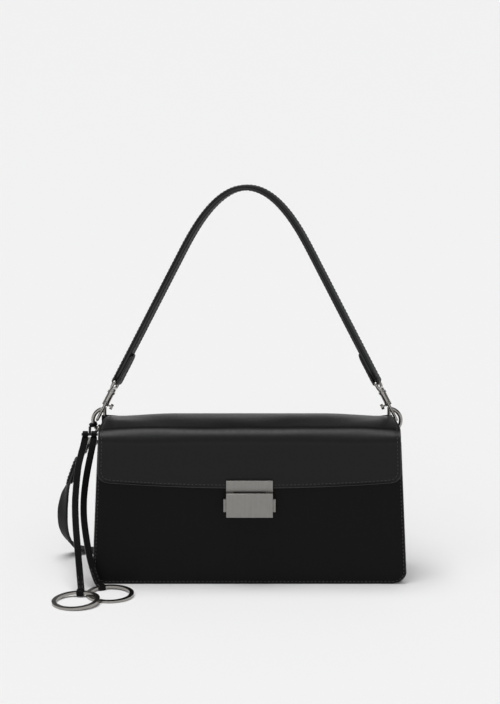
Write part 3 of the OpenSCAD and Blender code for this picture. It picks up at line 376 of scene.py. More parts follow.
def sweep(route, ways, section, closed=False, width_at=None):
    """Points and faces of a section carried along a route; its painted edges are marked 1."""
    points, faces, marks = [], [], []
    n = len(section)
    wide = max(x for x, _ in section)
    for i, (_, a, o) in enumerate(frames(route, ways, closed)):
        share = width_at(i) if width_at else 1.0
        points += [route[i] + a * x * share + o * y for x, y in section]
    last = len(route) if closed else len(route) - 1
    for i in range(last):
        j = (i + 1) % len(route)
        for k in range(n):
            m = (k + 1) % n
            faces.append((i * n + k, i * n + m, j * n + m, j * n + k))
            edge = min(abs(section[k][0]), abs(section[m][0])) > wide - 0.35
            marks.append(1 if edge else 0)
    if not closed:
        faces += [tuple(range(n))[::-1], tuple((len(route) - 1) * n + k for k in range(n))]
        marks += [1, 1]
    return points, faces, marks


def grid_normals(rows):
    """Normals of a grid of points."""
    made = []
    for i, row in enumerate(rows):
        line = []
        for j in range(len(row)):
            down = rows[min(i + 1, len(rows) - 1)][j] - rows[max(i - 1, 0)][j]
            along = row[min(j + 1, len(row) - 1)] - row[max(j - 1, 0)]
            line.append(along.cross(down).normalized())
        made.append(line)
    return made


# A beaded rim: its crease and the two shoulders of its bead, measured in from the edge
CREASE_IN, BEAD_IN, BEAD_OUT = 1.0, 0.62, 0.3
# The middle points of a rounded edge, as a share of its radius
BEVEL = 0.3
# A stitch's points: share of its length, thickness and lift, both as shares of the thread's radius
STITCH_SHAPE = ((0, 0.35, -0.5), (0.18, 0.9, 0.15), (0.5, 1.0, 0.3), (0.82, 0.9, 0.15),
    (1, 0.35, -0.5))
# Share of the stitch length at each end where the thread is in its hole, and the thread's sides
STITCH_HOLE, THREAD_SIDES = 0.13, 6


def thick_sheet(rows, normals, near, far, r=0.4, bead=0.0):
    """A closed sheet between two depths under a grid of points, with a rim rounded by r that is
    marked 1. With a bead, a creased line sets off the outermost millimetre, which stands proud."""
    high, wide = len(rows), len(rows[0])
    r = min(r, (far - near) * 0.45)
    points = [rows[i][j] - normals[i][j] * near for i in range(high) for j in range(wide)]
    points += [rows[i][j] - normals[i][j] * far for i in range(high) for j in range(wide)]
    back = high * wide
    faces, marks = [], []
    for i in range(high - 1):
        for j in range(wide - 1):
            a, b, c, d = i * wide + j, i * wide + j + 1, (i + 1) * wide + j + 1, (i + 1) * wide + j
            faces += [(a, b, c, d), (back + d, back + c, back + b, back + a)]
            marks += [0, 0]
    rim = [(0, j) for j in range(wide)] + [(i, wide - 1) for i in range(1, high)]
    rim += [(high - 1, j) for j in range(wide - 2, -1, -1)] + [(i, 0) for i in range(high - 2, 0, -1)]
    i, j = high // 2, wide // 2
    facing = (rows[i][j + 1] - rows[i][j - 1]).cross(rows[i + 1][j] - rows[i - 1][j])
    sign = 1 if facing.dot(normals[i][j]) > 0 else -1
    n, first = len(rim), len(points)
    rings = [[], [], [], []]
    beads = [[], []]
    for k, (i, j) in enumerate(rim):
        before, after = rim[k - 1], rim[(k + 1) % n]
        along = (rows[after[0]][after[1]] - rows[before[0]][before[1]]).normalized()
        up = normals[i][j]
        inward = up.cross(along).normalized() * sign
        at = rows[i][j]
        points[i * wide + j] += inward * (CREASE_IN if bead else r) - up * bead * 0.5
        points[back + i * wide + j] += inward * r
        if bead:
            beads[0].append(at - up * (near - bead) + inward * BEAD_IN)
            beads[1].append(at - up * (near - bead * 0.8) + inward * BEAD_OUT)
        for ring, (depth, move) in zip(rings, ((near + BEVEL * r, BEVEL), (near + r, 0),
                (far - r, 0), (far - BEVEL * r, BEVEL))):
            ring.append(at - up * depth + inward * r * move)
    if bead:
        rings = beads + rings
    for ring in rings:
        points += ring
    chain = [[i * wide + j for i, j in rim]] + [[first + q * n + k for k in range(n)]
        for q in range(len(rings))] + [[back + i * wide + j for i, j in rim]]
    for a, b in zip(chain, chain[1:]):
        for k in range(n):
            m = (k + 1) % n
            faces.append((a[m], a[k], b[k], b[m]))
            marks.append(1)
    return points, faces, marks


def stitches(name, lines, body):
    """Rows of thread stitches: each line is points with the surface's outward direction."""
    leather = bpy.context.scene.bag_leather
    pitch, r = leather.stitch / MM, leather.thread_d / MM / 2
    points, faces = [], []
    for line in lines:
        lengths = [0.0]
        for i in range(1, len(line)):
            lengths.append(lengths[-1] + (line[i][0] - line[i - 1][0]).length)
        count = max(1, int(lengths[-1] / pitch))
        step = lengths[-1] / count

        def at(s, line=line, lengths=lengths):
            i = 1
            while i < len(lengths) - 1 and lengths[i] < s:
                i += 1
            span = max(lengths[i] - lengths[i - 1], 1e-9)
            share = (s - lengths[i - 1]) / span
            return (line[i - 1][0].lerp(line[i][0], share), line[i - 1][1].lerp(line[i][1], share))

        for k in range(count):
            a, up = at((k + STITCH_HOLE) * step)
            b, _ = at((k + 1 - STITCH_HOLE) * step)
            along = (b - a).normalized()
            side = along.cross(up).normalized()
            first, n = len(points), THREAD_SIDES
            for share, size, lift in STITCH_SHAPE:
                centre = a.lerp(b, share) + up * r * lift
                points += [centre + (side * cosd(360 / n * q) + up * sind(360 / n * q)) * r * size
                    for q in range(n)]
            last = first + (len(STITCH_SHAPE) - 1) * n
            for start in range(first, last, n):
                for q in range(n):
                    m = (q + 1) % n
                    faces.append((start + q, start + m, start + n + m, start + n + q))
            faces += [tuple(range(first, first + n)), tuple(range(last, last + n))]
    return piece(name, points, faces, ["thread"], body)


def moved(points, matrix):
    """Points carried by a matrix."""
    return [matrix @ p for p in points]


def turn(axis, degrees):
    """A turn about an axis, in degrees."""
    return Matrix.Rotation(math.radians(degrees), 4, axis)


def shift(x, y, z):
    """A move along the axes."""
    return Matrix.Translation((x, y, z))


# The bag's own sizes, as in its solids

BACK_H, FRONT_H, HALF_D, LEAN = 128.4, 120.0, 30.0, 3.0
HALF_W, FRONT_TOP, BACK_TOP, CORNER = 130.0, 123.5, 114.5, 12.0
LEATHER, FLANGE, GUSSET_T, GUSSET_FOLD = 1.6, 3.6, 1.4, 7.0
WELT_IN, WELT_T, SEAM_PLAY = 3.0, 1.4, 0.05
FOLD_Y, FOLD_Z, KNUCKLE = 26.0, 130.0, 1.2
FLAP_T, FLAP_LINING, LINING_IN = 1.5, 0.9, 0.8
FLAP_FRONT, ROLL_R, ROLL_Y, ROLL_Z, ROLL_SPAN, CROWN = -31.2, 14.0, -17.2, 117.5, 82.0, 4.0
FLAP_LOW, FLAP_HALF, FLAP_TOP, FLAP_BACK, SMILE, FLAP_CORNER = 82.0, 124.5, 123.5, 117.5, 4.5, 9.0
# How far the top's corners and the roll's ends sink, and the back panel rises to the hinge
CORNER_DROP, ROLL_DROOP, HINGE_LAP = 2.4, 1.8, 0.44
# Where that starts and over what distance: out from the middle, up the back panel, back from the roll
SINK_X, SINK_OUT, SINK_Z, SINK_UP, SINK_Y, SINK_BACK = 62, 54, 112, 16, -16, 38
DROOP_X = 70
# Top of the belly under the flap
BELLY_TOP = 96
# Points over half a gusset, closer at its fold
GUSSET_SHARES = (0, 0.08, 0.18, 0.3, 0.45, 0.6, 0.75, 0.9, 1)
# The height of a bead above its panel, and how far the stitches stand in from the edge
PANEL_BEAD, FLAP_BEAD, PANEL_SEAM, FLAP_SEAM = 0.22, 0.25, 2.1, 3.0
# Where the welts begin and end, measured in from the edge
WELT_INSETS = (0.15, FLANGE + 1)
# Rows and columns of points over a panel, columns over the flap, and where their rims start
PANEL_ROWS, PANEL_COLUMNS, FLAP_COLUMNS, RIM_SHARE = 26, 22, 26, 0.984
LOCK_W, LOCK_LOW, LOCK_TOP, LOCK_DEEP, PLATE_T, PLATE_H = 38.2, 59.4, 79.7, 7.4, 2.8, 9.4
RING_Y, RING_Z, BOW_R, BAR_L, BAR_R = 30.5, 124.0, 9.95, 121.2, 116.8


def front_y(z):
    """Depth of the front panel's face at a height."""
    return -HALF_D + LEAN * z / BACK_H


def front_x(z):
    """Half width of the front panel at a height."""
    return HALF_W + (FRONT_TOP - HALF_W) * z / BACK_H


def back_x(z):
    """Half width of the back panel at a height."""
    return HALF_W + (BACK_TOP - HALF_W) * z / BACK_H


def settle(x, share):
    """How far the top edge sinks towards its back corners, where nothing stiff holds it."""
    out = clamp((abs(x) - SINK_X) / SINK_OUT)
    return CORNER_DROP * out * out * (3 - 2 * out) * clamp(share)


def panel_half(z, side, corner=CORNER):
    """Half width of a panel at a height, round corner included."""
    wide = side(z)
    if z < corner:
        wide = min(wide, HALF_W - corner + math.sqrt(max(0.0, corner ** 2 - (corner - z) ** 2)))
    return wide


def belly(x, z):
    """Gentle outward belly of a panel below the flap, fading at its edges."""
    sag = bpy.context.scene.bag_leather.sag / MM
    up = math.sin(math.pi * clamp(z / BELLY_TOP))
    soft = noise.noise((x / 55, z / 40, 3.1)) * 0.35
    return sag * up * (0.55 * math.cos(math.pi * x / (2 * HALF_W + 2)) + soft)


def hill(*away):
    """A smooth hill of height 1, at so many of its widths from the top."""
    return math.exp(-sum(a * a for a in away))


def columns(count):
    """Shares from -1 to 1, closer at both ends, for the points across a sheet."""
    return [-1] + [k / count * RIM_SHARE for k in range(-count, count + 1)] + [1]


def panel_rows(side, high, face):
    """Rows of a panel's points from its top down, closer in the round corners."""
    heights = [CORNER * (1 - cosd(a)) for a in (0, 24, 36, 48, 60, 75, 90)]
    heights += [CORNER + (high - CORNER) * k / PANEL_ROWS for k in range(1, PANEL_ROWS + 1)]
    return [[face(panel_half(z, side) * u, z) for u in columns(PANEL_COLUMNS)]
        for z in reversed(heights)]


def perimeter(inset, side, high, corner=CORNER):
    """Points (x, z) that run down one side, along the base and up the other side."""
    r = max(corner - inset, 0.5)
    right = [(side(z) - inset, z) for z in [high + (corner - high) * k / 20 for k in range(20)]]
    right += [(HALF_W - corner + r * cosd(a), corner - r * sind(a)) for a in range(0, 91, 10)]
    right = [(min(x, side(z) - inset), z) for x, z in right]
    base = [(right[-1][0] * (1 - k / 20), inset) for k in range(1, 21)]
    half = right + base
    return half + [(-x, z) for x, z in reversed(half[:-1])]


# Operators, one for each piece or group of like pieces

class BAG_OT_panels(bpy.types.Operator):
    """Front and back panels with their painted edges, seam allowances and stitching"""
    bl_idname = "bag.panels"
    bl_label = "Panels"

    def execute(self, context):
        rounding = context.scene.bag_leather.edge_r / MM
        for name, side, high, sign in (("front", front_x, FRONT_H, 1),
                ("back", back_x, BACK_H, -1)):
            def face(x, z, sign=sign):
                up = (z - SINK_Z) / SINK_UP if sign < 0 else 0.0
                return Vector((x, sign * (front_y(z) - belly(x, z)),
                    z - settle(x, up) + HINGE_LAP * max(0.0, up)))
            rows = panel_rows(side, high, face)
            out = Vector((0, -sign, 0))
            calf(name + "_panel_calf", thick_sheet(rows, [[out] * len(r) for r in rows], 0,
                LEATHER, rounding, PANEL_BEAD), "panel_calf", "bag", name + "_panel")
            ring = [[Vector((x, sign * (front_y(z) + LEATHER), z))
                for x, z in perimeter(inset, side, FRONT_H)] for inset in WELT_INSETS]
            count = len(ring[0])
            points = ring[0] + ring[1] + [p - out * WELT_T for p in ring[0] + ring[1]]
            faces = [(a * count + k, a * count + k + 1, b * count + k + 1, b * count + k)
                for k in range(count - 1) for a, b in ((0, 1), (3, 2), (2, 0), (1, 3))]
            faces += [(0, count, 3 * count, 2 * count),
                (count - 1, 3 * count - 1, 4 * count - 1, 2 * count - 1)]
            piece(name + "_welt_calf", points, faces, ["edge"], "bag", None,
                [name + "_welt"], False)
            line = [(face(x, z), out) for x, z in perimeter(PANEL_SEAM, side, high - 3)]
            stitches(name + "_panel_stitches", [line], "bag")
        return {"FINISHED"}


class BAG_OT_gussets(bpy.types.Operator):
    """Sides and base, one folded length of calf that dips between the panels"""
    bl_idname = "bag.gussets"
    bl_label = "Gussets and base"

    def execute(self, context):
        sag = context.scene.bag_leather.sag / MM
        shares = [-w for w in reversed(GUSSET_SHARES[1:])] + list(GUSSET_SHARES)
        heights = [FRONT_H + (CORNER - FRONT_H) * k / 24 for k in range(25)]

        def half_depth(z):
            return HALF_D - LEAN * z / BACK_H - WELT_IN - SEAM_PLAY

        def side_point(z, w):
            flat = (front_x(z) * (1 - w) + back_x(z) * (1 + w)) / 2 - FLANGE
            fold = GUSSET_FOLD * (z - CORNER) / (FRONT_H - CORNER)
            soft = sag * 0.5 * noise.noise((z / 22, w * 1.7, 8.0)) * (1 - w * w)
            inward = fold * (1 - math.sqrt(w * w + 0.004)) + soft * min(1, (z - CORNER) / 20)
            return Vector((flat - max(inward, 0), half_depth(z) * w, z))

        side = [[side_point(z, w) for w in shares] for z in heights]
        normals = grid_normals(side)
        for sign, name in ((1, "right"), (-1, "left")):
            rows = [[Vector((sign * p.x, p.y, p.z)) for p in row] for row in side]
            out = [[Vector((sign * abs(n.x), n.y if n.x > 0 else -n.y, n.z if n.x > 0 else -n.z))
                for n in row] for row in normals]
            calf("gusset_%s_calf" % name, thick_sheet(rows, out, 0, GUSSET_T), "panel_calf",
                "bag", "gusset_" + name)
        bend_x, r = HALF_W - CORNER, CORNER - FLANGE
        line = [(bend_x + r * cosd(a), CORNER - r * sind(a)) for a in range(0, 91, 10)]
        line += [(bend_x * (1 - k / 12), FLANGE) for k in range(1, 13)]
        line += [(-x, z) for x, z in reversed(line[:-1])]
        across = (-1, -0.6, -0.2, 0.2, 0.6, 1)
        rows = [[Vector((x, half_depth(z) * w, z)) for w in across] for x, z in line]
        normals = []
        for x, z in line:
            n = Vector((x - math.copysign(bend_x, x), 0, z - CORNER)) if abs(x) > bend_x \
                else Vector((0, 0, -1))
            normals.append([n.normalized()] * len(across))
        calf("base_calf", thick_sheet(rows, normals, 0, GUSSET_T), "panel_calf", "bag",
            "base_panel")
        return {"FINISHED"}


# The flap's line: pull of its curve at the roll and at the crown, points on its top and its roll
ROLL_PULL, CROWN_PULL, TOP_POINTS, ROLL_POINTS = 14, 16, 18, 14
# Drops of the flap's rows below the roll, then the angles that give the rows of its round corners
FLAP_DROPS, FLAP_DROP, FLAP_ANGLES = (0, 4, 8, 12, 16, 20, 24), 35.5, (90, 75, 60, 45, 29, 0)


def flap_profile():
    """Outer line of the flap in depth and height, from the fold over the crown to the front."""
    def roll(angle):
        return Vector((ROLL_Y + ROLL_R * cosd(angle), ROLL_Z + ROLL_R * sind(angle)))

    start = 180 - ROLL_SPAN
    last = roll(start)
    top = [last, last + ROLL_PULL * Vector((cosd(90 - ROLL_SPAN), sind(90 - ROLL_SPAN))),
        Vector((FOLD_Y - CROWN_PULL, FOLD_Z + KNUCKLE + CROWN)), Vector((FOLD_Y, FOLD_Z + KNUCKLE))]
    line = [Vector((FOLD_Y + KNUCKLE * cosd(b), FOLD_Z + KNUCKLE * sind(b))) for b in (-30, 10, 50)]
    line += [bezier(top, 1 - k / TOP_POINTS) for k in range(TOP_POINTS + 1)]
    return line + [roll(start + ROLL_SPAN * k / ROLL_POINTS) for k in range(1, ROLL_POINTS + 1)]


def dip(x, y):
    """Lift of the flap's top: hollows over the corners, a crease by the fold, slow waves."""
    side = hill((abs(x) - 100) / 15, (y - 10) / 9)
    crease = hill((y - 20 + 0.22 * (118 - abs(x))) / 2.6, (abs(x) - 106) / 16)
    return -0.9 * side - 0.8 * crease + 0.6 * noise.noise((x / 38, y / 22, 1.7))


def slack(x):
    """How far the roll flattens: most towards its ends, least over the lock."""
    return 0.18 + 0.62 * hill((abs(x) - 88) / 30) + 0.25 * noise.noise((x / 45, 2.0, 9.0))


def press(x, z):
    """Shallow hollows beside the lock and slow waves on the flap's front."""
    hollow = hill((x + 52) / 24, (z - 102) / 11) + 0.9 * hill((x - 33) / 22, (z - 104) / 10)
    return 0.55 * hollow + 0.3 * noise.noise((x / 34, z / 26, 5.5))


def flap_grid(inset):
    """Outer points and normals of the flap, row by row from the fold to the lower edge."""
    sag = bpy.context.scene.bag_leather.sag / MM
    line = flap_profile()
    end = len(line) - 1
    shares = columns(FLAP_COLUMNS)
    rows, normals = [], []
    for i, p in enumerate(line):
        d = (line[min(i + 1, end)] - line[max(i - 1, 0)]).normalized()
        n = Vector((0, d.y, -d.x))
        share = clamp((FOLD_Y - 1 - p.x) / (FOLD_Y - 1 - ROLL_Y))
        half = FLAP_BACK + (FLAP_TOP - FLAP_BACK) * share - inset
        top = math.sin(math.pi * clamp((FOLD_Y - 2 - p.x) / (FOLD_Y - 2 - FLAP_FRONT)))
        turned = max(0.0, i + ROLL_POINTS - end) / ROLL_POINTS
        row = []
        for u in shares:
            x = u * half
            lift = sag * dip(x, p.x) * max(0.0, top) * (1 - 0.35 * u * u)
            lift -= sag * slack(x) * math.sin(math.pi * turned) ** 2
            out = clamp((abs(x) - DROOP_X) / SINK_OUT)
            sunk = max(settle(x, (p.x - SINK_Y) / SINK_BACK),
                ROLL_DROOP * out * out * (1 - turned) * clamp(top * 3))
            row.append(Vector((x, p.x, p.y - sunk)) + n * lift)
        rows.append(row)
        normals.append([n] * len(row))
    for drop in FLAP_DROPS[1:] + tuple(FLAP_DROP - FLAP_CORNER * (1 - cosd(a)) for a in FLAP_ANGLES):
        share = drop / FLAP_DROP
        row = []
        for u in shares:
            x = u * (FLAP_HALF - inset)
            low = FLAP_LOW + SMILE * (x / FLAP_HALF) ** 2 + inset
            z = ROLL_Z + (low - ROLL_Z) * share
            away = (ROLL_Z - low) * (1 - share)
            r = FLAP_CORNER - inset * 0.5
            cut = r - math.sqrt(max(0.0, r * r - (r - away) ** 2)) if away < r else 0.0
            half = FLAP_TOP + (FLAP_HALF - FLAP_TOP) * share - inset - cut
            soft = sag * press(x, z) * math.sin(math.pi * share) * (1 - u ** 6)
            row.append(Vector((u * half, FLAP_FRONT + max(soft, -0.15), z)))
        rows.append(row)
        normals.append([Vector((0, -1, 0))] * len(row))
    return rows, normals


class BAG_OT_flap(bpy.types.Operator):
    """Flap of calf with its leather lining, rolled over the front and stitched all round"""
    bl_idname = "bag.flap"
    bl_label = "Flap"

    def execute(self, context):
        rounding = context.scene.bag_leather.edge_r / MM
        rows, normals = flap_grid(0)
        calf("flap_calf", thick_sheet(rows, normals, 0, FLAP_T, rounding, FLAP_BEAD), "calf",
            "flap", "flap_leather")
        # The lining starts past the fold, and the seam ends there
        rows, normals = flap_grid(LINING_IN)
        points, faces, marks = thick_sheet(rows[7:], normals[7:], FLAP_T, FLAP_T + FLAP_LINING)
        piece("flap_lining_split", points, faces, ["split", "edge"], "flap",
            marks, ["flap_lining"])
        rows, normals = flap_grid(FLAP_SEAM)
        seam = [list(zip(*pair)) for pair in zip(rows, normals)]
        line = [row[0] for row in seam[6:]] + seam[-1][1:-1] + [row[-1] for row in seam[:5:-1]]
        stitches("flap_stitches", [line], "flap")
        return {"FINISHED"}


# The lining bag's foot, top, half width, corner radius, cloth and play behind the boards
BAG_LOW, BAG_TOP, BAG_HALF, BAG_R, CLOTH_T, BOARD_ROOM = 6.4, 108.0, 107.0, 4.0, 0.6, 1.3
# The pocket: half width, foot, height, ply, distance of its back from the panel, and its seam
POCKET_HALF, POCKET_LOW, POCKET_H, POCKET_T, POCKET_BACK, POCKET_SEAM = 74.0, 34.0, 71.5, 0.9, 3.7, 2.5


class BAG_OT_inside(bpy.types.Operator):
    """Woven lining and the flat pocket on its back"""
    bl_idname = "bag.inside"
    bl_label = "Lining and pocket"

    def execute(self, context):
        def ring(z, grow):
            wide = BAG_HALF - grow - BAG_R
            depth = HALF_D - LEAN * z / BACK_H - LEATHER - BOARD_ROOM - grow - BAG_R
            return [Vector((sx * wide + BAG_R * cosd(start + 22.5 * k),
                sy * depth + BAG_R * sind(start + 22.5 * k), z))
                for sx, sy, start in ((1, -1, -90), (1, 1, 0), (-1, 1, 90), (-1, -1, 180))
                for k in range(5)]

        heights = [BAG_TOP + (BAG_LOW - BAG_TOP) * k / 10 for k in range(11)]
        outer, inner = [ring(z, 0) for z in heights], [ring(z, CLOTH_T) for z in heights]
        inner[-1] = [p + Vector((0, 0, CLOTH_T)) for p in inner[-1]]
        n = len(outer[0])
        points = [p for row in outer + inner for p in row]
        within, foot = len(heights) * n, (len(heights) - 1) * n
        faces = []
        for start in range(0, foot, n):
            for k in range(n):
                a, b = start + k, start + (k + 1) % n
                faces += [(a, b, b + n, a + n), (within + a + n, within + b + n, within + b, within + a)]
        faces += [(k, (k + 1) % n, within + (k + 1) % n, within + k) for k in range(n)]
        faces += [tuple(range(foot, foot + n)), tuple(range(within + foot, within + foot + n))]
        piece("lining_cloth_bag", points, faces, ["cloth"], "bag", None,
            ["lining"], False)
        rows, out = [], Vector((0, -1, 0))
        for k in range(13):
            z = POCKET_LOW + POCKET_H * (1 - k / 12)
            face = HALF_D - LEAN * z / BACK_H - POCKET_BACK
            rows.append([Vector((POCKET_HALF * j / 10,
                face - 0.5 - 0.5 * (1 - (j / 10) ** 2) * (1 - k / 12), z)) for j in range(-10, 11)])
        points, faces, marks = thick_sheet(rows, [[out] * len(row) for row in rows], 0, POCKET_T)
        piece("pocket_cloth", points, faces, ["cloth", "split"], "bag", marks,
            ["inner_pocket"])
        lines = [[(Vector((s * (POCKET_HALF - POCKET_SEAM), row[0].y, row[0].z)), out)
            for row in rows[1:]] for s in (-1, 1)]
        lines.append([(Vector((POCKET_HALF * 0.96 * u / 10, rows[-1][0].y, POCKET_LOW + 2.2)), out)
            for u in range(-10, 11)])
        stitches("pocket_stitches", lines, "bag")
        return {"FINISHED"}


# The ring tabs: height, ply, drop of their middle below the rings, length and start of their pack
TAB_H, TAB_T, TAB_DROP, TAB_L, TAB_PACK, WIRE_R = 11.7, 1.2, 1.6, 18, 5, 1.6
# Their distance from the back panel, and how far and over what length both plies draw together
TAB_ROOM, TAB_DRAW, TAB_EASE = 0.1, 0.05, 4


class BAG_OT_ring_tabs(bpy.types.Operator):
    """Leather tabs folded round the bars of both rings"""
    bl_idname = "bag.ring_tabs"
    bl_label = "Ring tabs"

    def execute(self, context):
        high, t = TAB_H, TAB_T
        low = RING_Z - TAB_DROP - high / 2
        face = HALF_D - LEAN * low / BACK_H + TAB_ROOM
        near, far = face + t / 2, face + t * 3 / 2
        r = WIRE_R + t / 2
        x_in, x_pack = BACK_TOP - TAB_L, BACK_TOP - TAB_PACK
        for sign, bar, name in ((1, BAR_R, "right"), (-1, BAR_L, "left")):
            line = [(x_in, near), (x_pack - TAB_EASE, near), (x_pack, near + TAB_DRAW)]
            line += [(bar + r * cosd(a), RING_Y + r * sind(a)) for a in range(-95, 111, 15)]
            line += [(x_pack, far - TAB_DRAW), (x_pack - TAB_EASE, far), (x_in, far)]
            route = [Vector((sign * x, y, low + high / 2)) for x, y in line]
            ways = [Vector((0, 0, 1))] * len(route)
            calf("ring_tab_%s_calf" % name, sweep(route, ways,
                band(high, -t / 2 + 0.02, t / 2 - 0.02, 0.4)), "strap_calf", "bag",
                "ring_tab_" + name)
        return {"FINISHED"}


# Carrying strap: the same places as in the solids
HINGE_Z = RING_Z + BOW_R
SIDE_A, LEAN_A, TURN_A = 27.3, 8.0, 14.0
STRAP_RISE, STRAP_W, PLY_OUT, PLY_IN = 184.0, 13.0, 1.8, 2.7
EYE_REACH, EYE_ROOM, FOLD_L, WRAP_R = 26.0, 2.0, 27.0, 1.35
# The arch begins at this share of the strap's rise, and its curve pulls by this share
ARCH_SHARE, ARCH_PULL = 0.713, 0.13
CROSS_L, CROSS_R = BAR_L + 1.5, BAR_R + 1.5
STRAP_MID, STRAP_HALF = (CROSS_R - CROSS_L) / 2, (CROSS_L + CROSS_R) / 2
SIDE_TURN = math.degrees(math.atan(math.tan(math.radians(TURN_A)) * cosd(SIDE_A)))
STRAP_PLACE = shift(0, RING_Y, HINGE_Z) @ turn("X", -LEAN_A)
# How far the seams stand in from the edges of a strap and of its folded end
STRAP_SEAM, END_SEAM = 1.8, 1.7
# Where the seams of a folded end start, its cross seam, and how far that stays from the edges
END_START, END_CROSS, END_SHORT = 1.5, 3.2, 2
# The outer leather's face: how far its edges drop, its crown, and how deep the thread lies in it
FACE_DROP, FACE_CROWN, THREAD_DEEP = 0.25, 0.3, 0.12


def strap_line():
    """Middle line of the carrying strap in its upright frame, left to right."""
    slope = math.tan(math.radians(SIDE_A))
    arch = Vector((STRAP_HALF - STRAP_RISE * ARCH_SHARE * slope, 0, STRAP_RISE * ARCH_SHARE))
    crest, pull = Vector((0, 0, STRAP_RISE)), STRAP_RISE * ARCH_PULL
    start = (EYE_REACH + EYE_ROOM) * cosd(SIDE_A)
    p = [crest, crest + Vector((pull, 0, 0)),
        arch + pull * Vector((-sind(SIDE_A), 0, cosd(SIDE_A))), arch]
    half = [bezier(p, k / 24) for k in range(25)]
    for k in range(1, 13):
        z = arch.z + (start - arch.z) * k / 12
        half.append(Vector((STRAP_HALF - z * slope, 0, z)))
    line = [Vector((-q.x, 0, q.z)) for q in reversed(half[1:])] + half
    return [q + Vector((STRAP_MID, 0, 0)) for q in line]


def hook_place(side):
    """Frame of a hook of the carrying strap, from its ring upward."""
    at = shift(CROSS_R if side > 0 else -CROSS_L, 0, 0)
    flip = Matrix.Identity(4) if side > 0 else Matrix.Scale(-1, 4, (1, 0, 0))
    return STRAP_PLACE @ at @ flip @ turn("Y", -SIDE_A)


def turned_end(place, wide, thick, out_l, in_l, name, body, both=False):
    """Folded end of a strap: outer leg, bend round the eye's bar, inner leg with a round tip."""
    r = WRAP_R + thick / 2
    tip = in_l - wide / 2
    arc = [sind(a) for a in (15, 30, 45, 58, 70, 80, 87)]
    line = [Vector((r, 0, out_l * (1 - k / 4))) for k in range(4)]
    line += [Vector((r * cosd(a), 0, -r * sind(a))) for a in range(0, 181, 15)]
    line += [Vector((-r, 0, tip * k / 5)) for k in range(1, 6)]
    line += [Vector((-r, 0, tip + wide / 2 * rise)) for rise in arc]
    across = (place.to_3x3() @ Vector((0, 1, 0))).normalized()
    first = len(line) - len(arc)

    def width_at(i):
        return max(0.06, math.sqrt(1 - arc[i - first] ** 2)) if i >= first else 1.0

    leather = calf(name + "_calf", sweep(moved(line, place), [across] * len(line),
        band(wide, -thick / 2 + 0.02, thick / 2 - 0.02, 0.5), width_at=width_at),
        "strap_calf", body, name)
    face, seam = r + thick / 2, wide / 2 - END_SEAM
    inner = [[(-face, s * seam, z) for z in (END_START, tip * 0.5, tip)] for s in (-1, 1)]
    inner.append([(-face, seam * cosd(a), tip + seam * sind(a)) for a in range(0, 181, 15)])
    inner.append([(-face, y, END_CROSS) for y in (-wide / 2 + END_SHORT, wide / 2 - END_SHORT)])
    outer = [[(face, s * seam, z) for z in (END_START, out_l * 0.5, out_l - END_START)]
        for s in (-1, 1)]
    lines = []
    for way, rows in ((-1, inner), (1, outer if both else [])):
        out = (place.to_3x3() @ Vector((way, 0, 0))).normalized()
        lines += [[(place @ Vector(q), out) for q in row] for row in rows]
    return [leather, stitches(name + "_stitches", lines, body)]


class BAG_OT_carrying_strap(bpy.types.Operator):
    """Carrying strap: padded outer leather, inner leather, folded ends and edge stitching"""
    bl_idname = "bag.carrying_strap"
    bl_label = "Carrying strap"

    def execute(self, context):
        route = moved(strap_line(), STRAP_PLACE)
        ways = [STRAP_PLACE.to_3x3() @ Vector((sind(TURN_A), cosd(TURN_A), 0))] * len(route)
        seam = PLY_IN / 2
        outer = band(STRAP_W, seam, seam + PLY_OUT - FACE_DROP, 0.6, FACE_CROWN)
        inner = band(STRAP_W, -seam, seam - 0.04, 0.7)
        for name, section in (("outer", outer), ("inner", inner)):
            calf("strap_%s_calf" % name, sweep(route, ways, section), "strap_calf", "strap",
                "strap_" + name)
        lines = [[], [], [], []]
        for p, (_, a, o) in zip(route, frames(route, ways)):
            for k, s in enumerate((-1, 1)):
                side = a * s * (STRAP_W / 2 - STRAP_SEAM)
                lines[k].append((p + side + o * (seam + PLY_OUT - THREAD_DEEP), o))
                lines[k + 2].append((p + side - o * seam, -o))
        # The inner face's seams end at the folded ends
        lines[2:] = [line[3:-3] for line in lines[2:]]
        stitches("strap_stitches", lines, "strap")
        for side, name in ((1, "right"), (-1, "left")):
            place = hook_place(side) @ turn("Z", -side * SIDE_TURN) @ shift(0, 0, EYE_REACH)
            turned_end(place, STRAP_W, PLY_OUT, 2.0, FOLD_L, "strap_end_" + name, "strap")
        return {"FINISHED"}


# Long strap: the route repeats the points of its solids
NEAR_A, NEAR_LEAN, NEAR_HANG, NEAR_SLACK = 230.0, 32.0, 20.0, 7.1
LONG_W, LONG_T, LONG_FOLD = 12.5, 2.5, 20.0
LONG_ROUTE = [(-156, 32, 57), (-158.4, 36, 42.5), (-158.6, 41.5, 28), (-156.5, 46, 18),
    (-152, 50, 10), (-145.5, 54, 4.4), (-138, 56.5, 2.2), (-128, 57, 1.6), (-115, 54.5, 2.6),
    (-100, 50, 4.2), (-84, 44.4, 5.6), (-68, 40.6, 6.2), (-54, 38.7, 6.25)]
COIL_X, COIL_Y, COIL_RUN, COIL_R, COIL_PITCH, COIL_TURNS = 5.0, 66.0, 100.0, 27.5, 4.0, 4
FAR_Z, FAR_Y, FAR_X = 9.6, 49.6, -8.0
# Twist of the hanging part at each of its points, in degrees
NEAR_TWIST = (0, 0, 0, 26, 38, 36, 28, 16, 6)
# The last points before the far end: shares of the way along and of the way up and over
TAIL = [(0.16, 0.2), (0.3, 0.8), (0.42, 1), (0.7, 1), (1, 1)]


